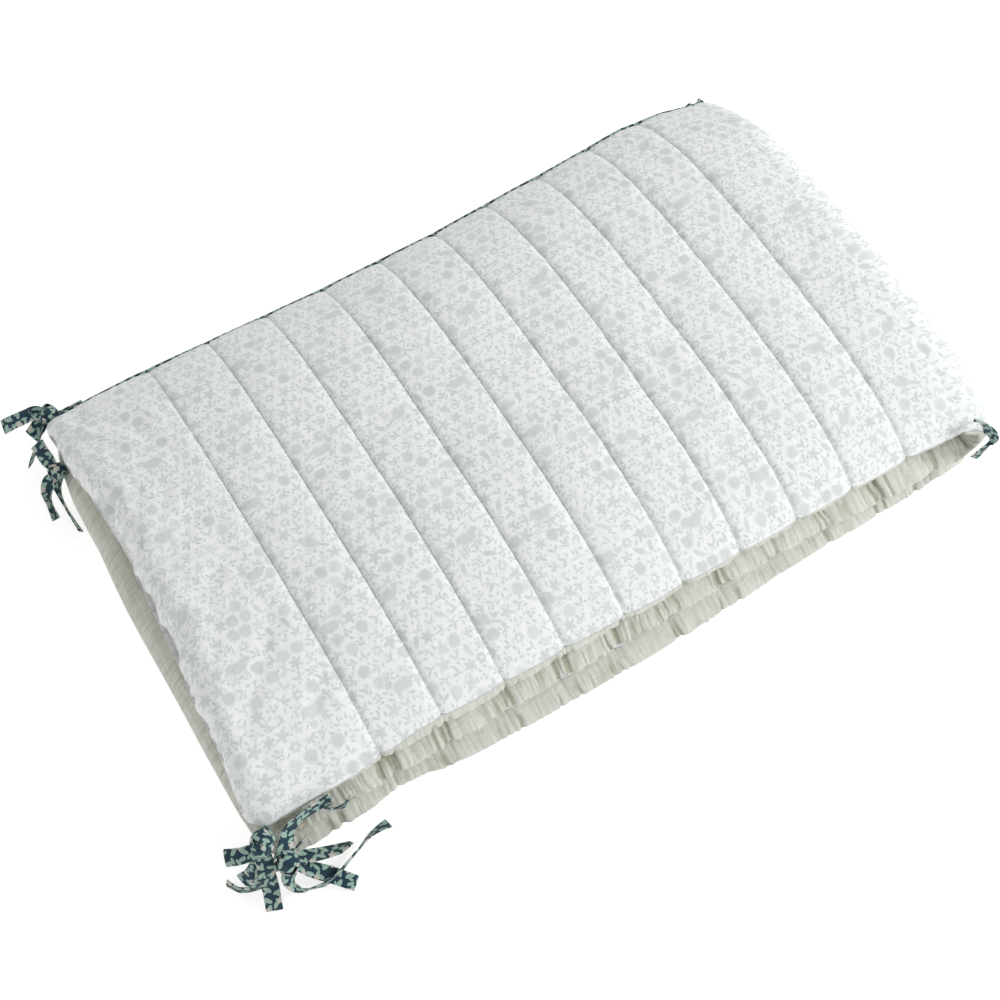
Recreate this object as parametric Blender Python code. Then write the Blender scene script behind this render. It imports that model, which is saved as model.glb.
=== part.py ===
"""Crib bumper: a long quilted strip folded back and forth into three layers.

The strip is two cloth panels with padding quilted between them: a printed cotton
front and a gathered gauze back, which also wraps the rounded edges.  Piping is
sewn into the top long edge, and fabric ties into both long edges at four
stations.  Metres, +Z up; X runs along the folded length, Y across the width.

Each panel is one closed solid: the half of the padded layer that its cloth
covers.  A point of the strip is given by s (length along the strip), u (across
it) and n (height above the strip's middle sheet, towards the printed side).
"""

import math

import bmesh
import bpy
import numpy as np
from mathutils import Vector

# ---- driving dimensions (metres) -----------------------------------------
END_A_X = -0.314            # free end of the top layer
FOLD_1_X = 0.2290           # centre of the right-hand fold
FOLD_2_X = -0.2932          # centre of the left-hand fold
END_B_X = 0.245             # free end of the bottom layer
LAYER_GAP = 0.0015          # air between two layers
FLOOR_PRESS = 0.0020        # how much of the bottom puffs is pressed flat
PANEL_GAP = 0.0009          # between the two panels

# one row for each layer, top to bottom; the notch is how far a seam draws the long edge in
LAYERS = {
    "top": {"half_thickness": 0.0155, "half_width": 0.1655, "notch": 0.0026},
    "middle": {"half_thickness": 0.0148, "half_width": 0.1715, "notch": 0.0026},
    "bottom": {"half_thickness": 0.0146, "half_width": 0.1775, "notch": 0.0010},
}
# where the two panels meet along the near long edge, as shares of the half thickness
# above the middle sheet: at three places behind the free end, then at both ends of the
# first fold and of the second
NEAR_SEAM = (0.05, 0.08, 0.36, 0.05, 0.05, 0.36, 0.62)
NEAR_SEAM_STARTS = (0.0, 0.060, 0.110)
FAR_SEAM = 0.0              # and along the far one

# stitched channel seams: X of the first one, spacing and number in each layer
SEAMS = {
    "top": {"first_x": -0.230, "pitch": 0.0460, "count": 11},
    "middle": {"first_x": 0.204, "pitch": -0.0430, "count": 12},
    "bottom": {"first_x": -0.269, "pitch": 0.0430, "count": 12},
}
FOLD_SEAM = 4 / 6           # the seam inside each fold, as a share of its turn
SEAM_PINCH = 0.78           # thickness left at a stitched seam
FOLD_CALM = 0.30            # share of the pinch and notch that is left in the folds
CALM_REACH = 0.035          # and how far from the folds that sets in
PUFF_UNEVEN = 0.07          # how much the channels differ in fullness
PUFF_POWER = 3.6            # how flat the crown of a channel is

EDGE_SQUEEZE = 0.335        # the stack is this much lower at its long edges
EDGE_POWER = 3.0            # how late the lowering sets in towards the edge
EDGE_LIMIT = 1.08           # share of the width beyond which it stays the same
FOLD_NARROW = {"near": -0.45, "far": 0.95}  # how much the folds slim at each long edge
FOLD_2_SLACK = {"u": (0.020, 0.075, 0.130), "share": (0.00, 0.10, 0.00)}  # slacker there
REFERENCE_HALF_WIDTH = 0.1655
END_ROUND = 0.018           # how far the padding thins out towards an end
END_THIN = 0.30             # thickness left right at the end
END_DROP = 0.95             # how far the thin end sinks onto what lies under it
END_STEP = 0.006            # distance from an end to its first cross-section
CORNER_ROUND = 0.009
SAG = {"share": 0.020, "along": 9.0, "start": 2.0, "across": 8.0}  # slow unevenness

# how far the top layer's end wanders in from its straight line, at places across the width
END_WANDER = {
    "u": (-0.160, -0.120, -0.076, -0.020, 0.020, 0.049, 0.061, 0.068, 0.080, 0.110, 0.140, 0.160),
    "out": (0.007, 0.005, 0.001, -0.006, -0.008, -0.011, -0.008, -0.012, -0.010, -0.005, -0.002,
            -0.001),
}
# how far a long edge wanders out, at places along X: the top layer's far edge, the upper
# layers' near edge, the middle layer's near edge and the bottom layer's near edge
FAR_WANDER = {
    "x": (-0.300, -0.240, -0.100, 0.000, 0.060, 0.110, 0.170, 0.205, 0.229),
    "out": (0.004, 0.005, 0.000, 0.000, 0.003, 0.005, 0.009, 0.006, 0.000),
}
NEAR_WANDER = {"x": (0.200, 0.229, 0.262), "out": (0.000, 0.003, 0.007)}
MIDDLE_WANDER = {"x": (0.100, 0.170, 0.215, 0.260), "out": (0.000, 0.004, 0.003, -0.001)}
LOW_WANDER = {
    "x": (-0.290, -0.250, -0.225, -0.205, -0.190, -0.140, -0.045, 0.000, 0.050, 0.105, 0.200, 0.225,
          0.260),
    "out": (0.000, -0.001, -0.004, -0.003, 0.001, 0.003, 0.004, 0.003, 0.001, -0.001, -0.002, -0.004,
            -0.004),
}
# the inside of the first fold bulges out at its near end: how far, over what length of
# the strip, and from what depth under its middle sheet
FOLD_STUFFED = {"out": 0.005, "reach": 0.028, "depth": 0.006}

# places around a cross-section, as shares of the turn from the panel seam to the crown
FRONT_TURNS = (0.20, 0.42, 0.64, 0.87)
BACK_TURNS = (0.12, 0.28, 0.48, 0.70, 0.89)
SHEET_SHARES = (0.60, 0.0, -0.60)
FOLD_STEPS = 6
RIM_POWER = 1 / 3           # the edge outline |u/U|^6 + |n/T|^2 = 1, as cos and sin
LONG_STRETCH = 0.024        # a stretch between sections longer than this gets two more
STRETCH_SHARES = (0.27, 0.73)

PIPING_RADIUS = 0.0013
PIPING_SIDES = 6
PIPING_OUT = 0.0016         # how far its middle stands out from the panel seam
PIPING_DOWN = 0.0022        # and how far below the middle sheet it is
PIPING_STIFF = 0.8          # share of each notch that it bridges

TIE_WIDTH = 0.0110
TIE_THICK = 0.0014
TIE_STEPS = 3               # cross-sections between two route points
TIE_LIFT = 0.001            # least height of a tie above the surface below
KNOT_RADII = (0.0068, 0.0066, 0.0064)

# The ties: where each knot lies and how large it is, and the route of each strip, in
# millimetres.  A row is one route point: x, y, z, and the strip's tilt in degrees
# about its own line (0 lies flat, 90 stands on its edge).
TIES = {
    "tie_end_a_front": {
        "knot": (-321, -173, 49), "scale": 1.0,
        "strips": {
            "root": [(-321, -173, 49, 30), (-317, -170, 52, 30), (-314, -168.5, 56, 20)],
            "stub": [(-321, -173, 49, 20), (-328, -173, 44, 25), (-337, -170, 40, 30), (-345, -165, 36, 30)],
            "left": [(-321, -173, 49, 20), (-328, -178, 34, 25), (-335, -179, 22, 35), (-342, -177, 13, 40)],
            "curl": [(-323, -176, 42, 30), (-331, -184, 21, 60), (-337, -183, 7, 85), (-346, -179, 5, 85),
                     (-351, -171, 5, 80)],
            "down": [(-321, -173, 49, 0), (-326.5, -184, 31, 15), (-329, -191, 14, 5), (-333, -201, 3, 0)],
        },
    },
    "tie_left_fold_front": {
        "knot": (-313, -187, 35), "scale": 1.0,
        "strips": {
            "right": [(-313, -187, 35, 0), (-303, -187, 27, 15), (-292, -189, 21, 25), (-281, -191, 17, 30),
                      (-271, -191, 15, 60)],
            "root": [(-313, -187, 35, 60), (-304, -182, 34, 75), (-296, -179, 33, 80)],
            "along": [(-313, -185, 39, -20), (-304, -174, 47, -60), (-295, -171, 50, -80), (-286, -170, 50, -82),
                      (-278, -169.5, 49, -75), (-271, -169.5, 48, -70)],
            "hook": [(-277.5, -170.5, 46, 60), (-271, -174.5, 42, 75), (-264, -175, 40, 85), (-259, -172.5, 39.5, 80)],
            "wide": [(-313, -187, 35, 0), (-308, -188, 26, 5), (-302, -192, 15, 10), (-291, -201, 7, 0),
                     (-280, -213, 3, 5)],
            "thin": [(-313, -187, 35, 20), (-316, -195, 19, 30), (-312, -200, 10, 60), (-307, -202, 8, 75),
                     (-298, -204, 8, 85), (-288, -203, 8, 85), (-278, -199, 8, 80), (-267, -195, 8, 75),
                     (-256, -191, 7, 60), (-243, -190, 6, 35)],
        },
    },
    "tie_end_a_back": {
        "knot": (-304, 178.6, 42), "scale": 0.72,
        "strips": {
            "root": [(-304, 178.6, 42, 40), (-298, 177.5, 42, 60), (-290, 175.5, 42.5, 80), (-280, 174.6, 43, 85)],
            "tail": [(-304, 178.6, 42, 0), (-314, 185, 43, 5), (-324, 188, 40, 10), (-336, 190.5, 36, 10)],
            "loop_out": [(-304, 178.6, 42, 60), (-309, 184, 45, 75), (-315, 187, 44, 90)],
            "loop_back": [(-315, 187, 43, 80), (-313, 181, 40, 70), (-305, 179, 40, 60)],
            "short": [(-304, 178.6, 42, 30), (-312, 178, 38, 20), (-322, 175.5, 33, 10)],
            "string": [(-304, 178.6, 42, 80), (-312, 174.5, 38, 100), (-319, 170.5, 31, 115), (-326, 168, 22, 118),
                       (-331, 166.5, 14, 120)],
        },
    },
    "tie_left_fold_back": {
        "knot": (-318, 135.5, 41), "scale": 0.65,
        "strips": {
            "root": [(-318, 135.5, 41, 60), (-319, 146, 36, 80), (-318.5, 154, 31, 85)],
            "tail": [(-318, 135.5, 41, 20), (-321, 149, 43, 30), (-321.5, 161, 44, 25)],
            "loop": [(-318, 135.5, 41, 40), (-327, 136.5, 29, 60), (-332, 133, 17, 75), (-334, 121, 8, 60)],
            "low": [(-318, 135.5, 41, 65), (-323, 131, 26, 80), (-324.5, 122, 13, 85), (-323, 104, 7, 75)],
        },
    },
    "tie_right_fold_front": {
        "strips": {
            "along": [(234, -169, 66, 50), (238.5, -175.5, 66, 65), (242.5, -180.5, 58, 80), (243, -182, 48, 90),
                      (239, -182.5, 40, 85), (233, -182.5, 34, 80)],
        },
    },
    "tie_right_fold_back": {
        "strips": {
            "long": [(240, 175.5, 33, 90), (237, 178, 26, 90), (229, 183, 16, 90), (218, 184.5, 8, 90),
                     (200, 184.5, 7, 90)],
            "short": [(242, 176, 32, 85), (247, 180, 25, 90), (251, 183, 17, 90), (259, 183, 8, 90)],
        },
    },
    "tie_end_b_front": {
        "strips": {
            "tucked": [(252, -158, 8, 90), (254, -135, 8, 90), (252, -105, 8, 90), (255, -75, 8, 90),
                       (253, -45, 8, 90)],
        },
    },
    "tie_end_b_back": {
        "strips": {
            "tucked": [(252, 158, 8, 90), (254, 135, 8, 90), (252, 105, 8, 90), (255, 75, 8, 90),
                       (253, 45, 8, 90)],
        },
    },
}


# ---- the folded route of the strip ----------------------------------------
def layer_heights():
    """Height of each layer's middle sheet at the middle of the width."""
    top, middle, bottom = (LAYERS[name]["half_thickness"] for name in ("top", "middle", "bottom"))
    bottom_z = bottom - FLOOR_PRESS
    middle_z = bottom_z + bottom + LAYER_GAP + middle
    top_z = middle_z + middle + LAYER_GAP + top
    return top_z, middle_z, bottom_z


TOP_Z, MIDDLE_Z, BOTTOM_Z = layer_heights()
RADIUS_1 = (TOP_Z - MIDDLE_Z) / 2
RADIUS_2 = (MIDDLE_Z - BOTTOM_Z) / 2
TOP_END = FOLD_1_X - END_A_X
FOLD_1_END = TOP_END + math.pi * RADIUS_1
MIDDLE_END = FOLD_1_END + FOLD_1_X - FOLD_2_X
FOLD_2_END = MIDDLE_END + math.pi * RADIUS_2
STRIP_LENGTH = FOLD_2_END + END_B_X - FOLD_2_X


def route(s):
    """Place and direction (x, z, dx, dz) of the middle sheet at length s."""
    if s <= TOP_END:
        return END_A_X + s, TOP_Z, 1.0, 0.0
    if s <= FOLD_1_END:
        turn = (s - TOP_END) / RADIUS_1
        x = FOLD_1_X + RADIUS_1 * math.sin(turn)
        z = TOP_Z - RADIUS_1 + RADIUS_1 * math.cos(turn)
        return x, z, math.cos(turn), -math.sin(turn)
    if s <= MIDDLE_END:
        return FOLD_1_X - (s - FOLD_1_END), MIDDLE_Z, -1.0, 0.0
    if s <= FOLD_2_END:
        turn = (s - MIDDLE_END) / RADIUS_2
        x = FOLD_2_X - RADIUS_2 * math.sin(turn)
        z = MIDDLE_Z - RADIUS_2 + RADIUS_2 * math.cos(turn)
        return x, z, -math.cos(turn), -math.sin(turn)
    return FOLD_2_X + (s - FOLD_2_END), BOTTOM_Z, 1.0, 0.0


def layer_size(s, key):
    """A layer dimension at length s, passing evenly from layer to layer at the folds."""
    stations = (TOP_END, FOLD_1_END, MIDDLE_END, FOLD_2_END)
    top, middle, bottom = (LAYERS[name][key] for name in ("top", "middle", "bottom"))
    return float(np.interp(s, stations, (top, middle, middle, bottom)))


def seam_lengths():
    """Length s of every stitched seam, with one inside each fold."""
    seams = []
    for k in range(SEAMS["top"]["count"]):
        seams.append(SEAMS["top"]["first_x"] + k * SEAMS["top"]["pitch"] - END_A_X)
    seams.append(TOP_END + FOLD_SEAM * (FOLD_1_END - TOP_END))
    for k in range(SEAMS["middle"]["count"]):
        x = SEAMS["middle"]["first_x"] + k * SEAMS["middle"]["pitch"]
        seams.append(FOLD_1_END + FOLD_1_X - x)
    seams.append(MIDDLE_END + FOLD_SEAM * (FOLD_2_END - MIDDLE_END))
    for k in range(SEAMS["bottom"]["count"]):
        x = SEAMS["bottom"]["first_x"] + k * SEAMS["bottom"]["pitch"]
        seams.append(FOLD_2_END + x - FOLD_2_X)
    return sorted(seams)


SEAM_S = seam_lengths()


def near_seam(s):
    """Height of the panel seam along the near long edge, as a share of the half thickness."""
    stations = (*NEAR_SEAM_STARTS, TOP_END, FOLD_1_END, MIDDLE_END, FOLD_2_END)
    return float(np.interp(s, stations, NEAR_SEAM))


def puff(s):
    """Fullness of the channel at s: 0 on a seam, about 1 in the middle of a channel."""
    edges = [-END_ROUND] + SEAM_S + [STRIP_LENGTH + END_ROUND]
    k = int(np.searchsorted(edges, s, side="right")) - 1
    k = min(max(k, 0), len(edges) - 2)
    share = (s - edges[k]) / (edges[k + 1] - edges[k])
    if k == 0:
        share = max(share, 0.5)
    if k == len(edges) - 2:
        share = min(share, 0.5)
    fullness = 1.0 - PUFF_UNEVEN * (0.5 + 0.5 * math.sin(2.3 * k))
    return fullness * math.sqrt(1.0 - abs(2.0 * share - 1.0) ** PUFF_POWER)


def seam_pull(s):
    """How much the seams draw the strip in at s: 1 on a seam, less in the folds, 0 midway."""
    stops = (TOP_END - CALM_REACH, TOP_END, FOLD_1_END, FOLD_1_END + CALM_REACH,
             MIDDLE_END - CALM_REACH, MIDDLE_END, FOLD_2_END, FOLD_2_END + CALM_REACH)
    strength = np.interp(s, stops, (1.0, FOLD_CALM, FOLD_CALM, 1.0, 1.0, FOLD_CALM, FOLD_CALM, 1.0))
    return float(strength) * (1.0 - puff(s))


def quarter_round(s, reach):
    """From 0 at either end of the strip to 1 at `reach` from it, along a quarter circle."""
    near = min(s / reach, (STRIP_LENGTH - s) / reach, 1.0)
    return math.sqrt(1.0 - (1.0 - near) ** 2)


def end_share(s):
    """Share of the full thickness that the strip has near its ends."""
    return END_THIN + (1.0 - END_THIN) * quarter_round(s, END_ROUND)


def half_thickness(s):
    """Half the padded thickness, pinched at seams and thinned towards the ends."""
    return layer_size(s, "half_thickness") * end_share(s) * (1.0 - (1.0 - SEAM_PINCH) * seam_pull(s))


def half_width(s):
    """Half the width, drawn in at seams and rounded at the corners."""
    corner = CORNER_ROUND * (1.0 - quarter_round(s, CORNER_ROUND))
    return layer_size(s, "half_width") - corner - layer_size(s, "notch") * seam_pull(s)


def squeeze(u):
    """Share of the full height that the stack has at distance u from its middle line."""
    return 1.0 - EDGE_SQUEEZE * min(abs(u) / REFERENCE_HALF_WIDTH, EDGE_LIMIT) ** EDGE_POWER


def place(s, u, n):
    """World point of strip place (s, u, n): the folded route, lowered at the long edges."""
    x, z, dx, dz = route(s)
    x -= n * dz
    z += n * dx - END_DROP * layer_size(s, "half_thickness") * (1.0 - end_share(s))
    low = squeeze(u)
    slim = 1.0 - (1.0 - low) * FOLD_NARROW["near" if u < 0 else "far"]
    if TOP_END < s < FOLD_1_END:
        x = FOLD_1_X + (x - FOLD_1_X) * slim
    elif MIDDLE_END < s < FOLD_2_END:
        slack = float(np.interp(u, FOLD_2_SLACK["u"], FOLD_2_SLACK["share"]))
        x = FOLD_2_X + (x - FOLD_2_X) * (slim - slack)
    x -= max(0.0, 1.0 - s / SEAM_S[0]) * float(np.interp(u, END_WANDER["u"], END_WANDER["out"]))
    wave = math.sin(SAG["along"] * x + SAG["start"]) * math.cos(SAG["across"] * u)
    z *= low * (1.0 + SAG["share"] * wave)
    rim_share = (u / REFERENCE_HALF_WIDTH) ** 2
    y = u
    if u > 0.0 and s < TOP_END:
        y += rim_share * float(np.interp(x, FAR_WANDER["x"], FAR_WANDER["out"]))
    if u < 0.0 and s < MIDDLE_END:
        y -= rim_share * float(np.interp(x, NEAR_WANDER["x"], NEAR_WANDER["out"]))
        past_fold = min(max((s - TOP_END) / (FOLD_1_END - TOP_END), 0.0), 1.0)
        y -= rim_share * past_fold * float(np.interp(x, MIDDLE_WANDER["x"], MIDDLE_WANDER["out"]))
    if u < 0.0 and s > FOLD_2_END:
        y -= rim_share * float(np.interp(x, LOW_WANDER["x"], LOW_WANDER["out"]))
    if u < 0.0:
        from_middle = (s - (TOP_END + FOLD_1_END) / 2) / FOLD_STUFFED["reach"]
        inside = min(max(-n / FOLD_STUFFED["depth"], 0.0), 1.0)
        y -= rim_share * FOLD_STUFFED["out"] * math.exp(-from_middle ** 2) * inside
    return x, y, max(z, 0.0)


def section_lengths():
    """Lengths s of the cross-sections: every seam, two between, and the folds' own steps."""
    stops = [0.0, END_STEP, END_ROUND] + SEAM_S + [STRIP_LENGTH - END_ROUND]
    stops += [STRIP_LENGTH - END_STEP, STRIP_LENGTH]
    for start, end in ((TOP_END, FOLD_1_END), (MIDDLE_END, FOLD_2_END)):
        step = (end - start) / FOLD_STEPS
        stops = [s for s in stops if not start - 0.3 * step < s < end + 0.3 * step]
        stops += [start + i * step for i in range(FOLD_STEPS + 1)]
    stops = sorted(stops)
    lengths = []
    for s, following in zip(stops, stops[1:]):
        lengths.append(s)
        if following - s > LONG_STRETCH:
            lengths += [s + share * (following - s) for share in STRETCH_SHARES]
    return lengths + [stops[-1]]


# ---- meshes ----------------------------------------------------------------
def cross_section(s, turns, side, gap):
    """Ring of points: the rounded outer line on one side, then the inner sheet.

    With U the half width and T the half thickness, the outer line is
    |u/U|^6 + |n/T|^2 = 1, from the panel seam of the near long edge over the crown
    (side 1) or under it (side -1) to the seam of the far one.  The inner sheet goes
    back straight from seam to seam.
    """
    thick, wide = half_thickness(s), half_width(s)
    seams = {-1: math.asin(near_seam(s)), 1: math.asin(FAR_SEAM)}
    ring = [(0.0, side * thick)]
    for edge, start in seams.items():
        reach = side * math.pi / 2 - start
        rim = [start + share * reach for share in (0.0,) + turns]
        rim = [(edge * wide * math.cos(turn) ** RIM_POWER, thick * math.sin(turn)) for turn in rim]
        ring = rim + ring if edge < 0 else ring + rim[::-1]
    near, far = ring[0], ring[-1]
    for share in SHEET_SHARES:
        step = (1.0 - share) / 2
        ring.append((far[0] + step * (near[0] - far[0]), far[1] + step * (near[1] - far[1])))
    return [place(s, u, n + gap) for u, n in ring]


def loft(name, rings):
    """Closed solid through rings of equal length, in triangles, with flat end faces."""
    count = len(rings[0])
    points = [point for ring in rings for point in ring]
    faces = []
    for i in range(len(rings) - 1):
        for j in range(count):
            a = i * count + j
            b = i * count + (j + 1) % count
            faces += [(a, b, b + count), (a, b + count, a + count)]
    faces.append(tuple(reversed(range(count))))
    faces.append(tuple(range((len(rings) - 1) * count, len(rings) * count)))
    mesh = bpy.data.meshes.new(name)
    mesh.from_pydata(points, [], faces)
    return mesh


def add_object(name, mesh, material):
    mesh.materials.append(material)
    piece = bpy.data.objects.new(name, mesh)
    bpy.context.collection.objects.link(piece)
    return piece


def plain_material(name, colour, roughness):
    material = bpy.data.materials.new(name)
    material.use_nodes = True
    shader = material.node_tree.nodes["Principled BSDF"]
    shader.inputs["Base Color"].default_value = (*colour, 1.0)
    shader.inputs["Roughness"].default_value = roughness
    shader.inputs["Metallic"].default_value = 0.0
    return material


def outward(mesh):
    """Turn the faces outwards."""
    shape = bmesh.new()
    shape.from_mesh(mesh)
    bmesh.ops.recalc_face_normals(shape, faces=shape.faces)
    shape.to_mesh(mesh)
    shape.free()
    return mesh


def panel(name, turns, side, material):
    rings = [cross_section(s, turns, side, side * PANEL_GAP / 2) for s in section_lengths()]
    return add_object(name, outward(loft(name, rings)), material)


def piping(material):
    """Round piping beside the panel seam of the far long edge, over the whole strip."""
    rings = []
    for s in section_lengths()[1:-1]:
        u = half_width(s) + PIPING_STIFF * layer_size(s, "notch") * seam_pull(s) + PIPING_OUT
        centre = Vector(place(s, u, -PIPING_DOWN))
        x, z, dx, dz = route(s)
        along = Vector((dx, 0.0, dz))
        side = Vector((0.0, 1.0, 0.0))
        up = along.cross(side)
        ring = []
        for k in range(PIPING_SIDES):
            angle = 2 * math.pi * (k + 0.5) / PIPING_SIDES
            ring.append(centre + PIPING_RADIUS * (math.cos(angle) * side + math.sin(angle) * up))
        rings.append(ring)
    return add_object("piping", outward(loft("piping", rings)), material)


def smooth_route(points):
    """Points on the smooth curve through the route points, with TIE_STEPS to a stretch."""
    rows = np.array(points, dtype=float)
    rows[:, :3] /= 1000.0
    padded = np.vstack([2 * rows[0] - rows[1], rows, 2 * rows[-1] - rows[-2]])
    samples = []
    for i in range(1, len(padded) - 2):
        before, start, end, after = padded[i - 1:i + 3]
        for t in np.arange(TIE_STEPS) / TIE_STEPS:
            samples.append(0.5 * (2 * start + (end - before) * t
                                  + (2 * before - 5 * start + 4 * end - after) * t ** 2
                                  + (3 * start - before - 3 * end + after) * t ** 3))
    return samples + [rows[-1]]


def strip(name, points):
    """Flat strip of cloth carried along its route, as a closed solid."""
    samples = smooth_route(points)
    rings = []
    for i, row in enumerate(samples):
        before, after = samples[max(i - 1, 0)], samples[min(i + 1, len(samples) - 1)]
        along = Vector(after[:3] - before[:3]).normalized()
        side = along.cross(Vector((0.0, 0.0, 1.0))).normalized()
        face = side.cross(along)
        tilt = math.radians(row[3])
        across = math.cos(tilt) * side + math.sin(tilt) * face
        through = across.cross(along)
        across, through = across * TIE_WIDTH / 2, through * TIE_THICK / 2
        centre = Vector(row[:3])
        centre.z = max(centre.z, TIE_LIFT + abs(across.z) + abs(through.z))
        rings.append([centre + across + through, centre - across + through,
                      centre - across - through, centre + across - through])
    return outward(loft(name, rings))


def knot(name, centre, scale):
    """The lump of a knot: a small rounded body."""
    shape = bmesh.new()
    bmesh.ops.create_icosphere(shape, subdivisions=2, radius=1.0)
    for vertex in shape.verts:
        vertex.co = Vector((vertex.co[i] * KNOT_RADII[i] * scale + centre[i] / 1000.0
                            for i in range(3)))
    mesh = bpy.data.meshes.new(name)
    shape.to_mesh(mesh)
    shape.free()
    return mesh


def fill_hollows(mesh):
    """Close the small hollows shut in between crossing strips, by dropping their shells.

    A hollow's shell is turned the other way from the outer one, so its volume has
    the other sign.
    """
    shape = bmesh.new()
    shape.from_mesh(mesh)
    unseen = set(shape.faces)
    shells = []
    while unseen:
        shell = set()
        reached = {unseen.pop()}
        while reached:
            face = reached.pop()
            shell.add(face)
            neighbours = {other for edge in face.edges for other in edge.link_faces} & unseen
            unseen -= neighbours
            reached |= neighbours
        volume = sum(face.calc_center_median().dot(face.normal) * face.calc_area() for face in shell)
        shells.append((volume, list(shell)))
    outer = max(shells, key=lambda entry: abs(entry[0]))[0]
    for volume, shell in shells:
        if volume * outer < 0.0:
            bmesh.ops.delete(shape, geom=shell, context="FACES")
    shape.to_mesh(mesh)
    shape.free()


def tie(name, plan, material):
    """One tie: its strips and knot joined into a single solid."""
    meshes = [strip(name, points) for points in plan["strips"].values()]
    if "knot" in plan:
        meshes.insert(0, knot(name, plan["knot"], plan["scale"]))
    body = add_object(name, meshes[0], material)
    for mesh in meshes[1:]:
        other = add_object(name + "_strip", mesh, material)
        join = body.modifiers.new("join", "BOOLEAN")
        join.operation = "UNION"
        join.object = other
        view = bpy.context.evaluated_depsgraph_get()
        joined = bpy.data.meshes.new_from_object(body.evaluated_get(view))
        body.modifiers.clear()
        body.data = joined
        bpy.data.objects.remove(other)
    fill_hollows(body.data)
    outward(body.data)
    return body


# ---- the model --------------------------------------------------------------
def clear_scene():
    for old in list(bpy.data.objects):
        bpy.data.objects.remove(old)


def stand_on_origin(pieces):
    """Shift the pieces so that the bottom centre of their box is the origin."""
    points = np.array([vertex.co for piece in pieces for vertex in piece.data.vertices])
    low, high = points.min(axis=0), points.max(axis=0)
    shift = Vector((-(low[0] + high[0]) / 2, -(low[1] + high[1]) / 2, -low[2]))
    for piece in pieces:
        for vertex in piece.data.vertices:
            vertex.co += shift


def build():
    clear_scene()
    cotton = plain_material("white_cotton", (0.87, 0.88, 0.87), 0.9)
    gauze = plain_material("sage_gauze", (0.62, 0.62, 0.55), 0.95)
    floral = plain_material("navy_floral", (0.04, 0.10, 0.15), 0.85)
    pieces = [
        panel("front_panel", FRONT_TURNS, 1, cotton),
        panel("back_panel", BACK_TURNS, -1, gauze),
        piping(floral),
    ]
    pieces += [tie(name, plan, floral) for name, plan in TIES.items()]
    stand_on_origin(pieces)


build()
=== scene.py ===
"""Looks of the folded crib bumper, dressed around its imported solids.

The bumper is one long quilted strip, folded back and forth into three layers.  Places
on it are given in cloth coordinates: s along the strip, u across it and n above its
middle sheet, towards the printed side.  Metres throughout.
"""

import math

import bpy
import numpy as np
from mathutils import Matrix, Vector


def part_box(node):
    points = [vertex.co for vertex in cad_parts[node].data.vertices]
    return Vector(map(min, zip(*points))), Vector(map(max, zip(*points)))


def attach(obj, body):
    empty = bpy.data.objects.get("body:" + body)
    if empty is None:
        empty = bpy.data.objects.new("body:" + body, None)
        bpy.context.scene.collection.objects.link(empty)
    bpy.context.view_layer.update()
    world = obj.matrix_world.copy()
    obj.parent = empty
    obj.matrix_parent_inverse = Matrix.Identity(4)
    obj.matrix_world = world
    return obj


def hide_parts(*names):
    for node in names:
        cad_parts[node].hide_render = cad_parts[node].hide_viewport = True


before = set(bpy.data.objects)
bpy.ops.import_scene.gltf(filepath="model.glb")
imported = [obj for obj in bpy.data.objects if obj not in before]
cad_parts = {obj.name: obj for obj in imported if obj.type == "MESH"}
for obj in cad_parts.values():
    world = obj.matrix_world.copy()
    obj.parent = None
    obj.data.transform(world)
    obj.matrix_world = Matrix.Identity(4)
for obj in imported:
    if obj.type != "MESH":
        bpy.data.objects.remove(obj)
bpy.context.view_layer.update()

# ---- Printed front panel ----
# Crisp white cotton with a small pale print, stitched through the padding in straight
# channels.  The piece is the cloth with the upper half of the padding under it.
END_A_X = -0.314  # free end of the top layer
FOLD_1_X = 0.2290  # centre of the right-hand fold
FOLD_2_X = -0.2932  # centre of the left-hand fold
END_B_X = 0.245  # free end of the bottom layer
HALF_THICKNESS = {"top": 0.0155, "middle": 0.0148, "bottom": 0.0146}
HALF_WIDTH = {"top": 0.1655, "middle": 0.1715, "bottom": 0.1775}
NOTCH_PULL = {"top": 0.0026, "middle": 0.0026, "bottom": 0.0010}  # a seam draws the edge in
LAYER_GAP = 0.0015  # air between two layers
FLOOR_PRESS = 0.0020  # how much of the bottom puffs is pressed flat
PANEL_GAP = 0.0005  # between the front and back panels

BOTTOM_Z = HALF_THICKNESS["bottom"] - FLOOR_PRESS
MIDDLE_Z = BOTTOM_Z + HALF_THICKNESS["bottom"] + LAYER_GAP + HALF_THICKNESS["middle"]
TOP_Z = MIDDLE_Z + HALF_THICKNESS["middle"] + LAYER_GAP + HALF_THICKNESS["top"]
RADIUS_1 = (TOP_Z - MIDDLE_Z) / 2
RADIUS_2 = (MIDDLE_Z - BOTTOM_Z) / 2
TOP_END = FOLD_1_X - END_A_X
FOLD_1_END = TOP_END + math.pi * RADIUS_1
MIDDLE_END = FOLD_1_END + FOLD_1_X - FOLD_2_X
FOLD_2_END = MIDDLE_END + math.pi * RADIUS_2
STRIP_LENGTH = FOLD_2_END + END_B_X - FOLD_2_X
# height above the middle sheet where the panels meet at the long edges, as a share of the
# half thickness: along the near edge, by places s, and all along the far one
NEAR_SEAM = (
    (0.0, 0.060, 0.110, TOP_END, FOLD_1_END, MIDDLE_END, FOLD_2_END),
    (0.05, 0.08, 0.36, 0.05, 0.05, 0.36, 0.62),
)
FAR_SEAM = 0.0

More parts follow.
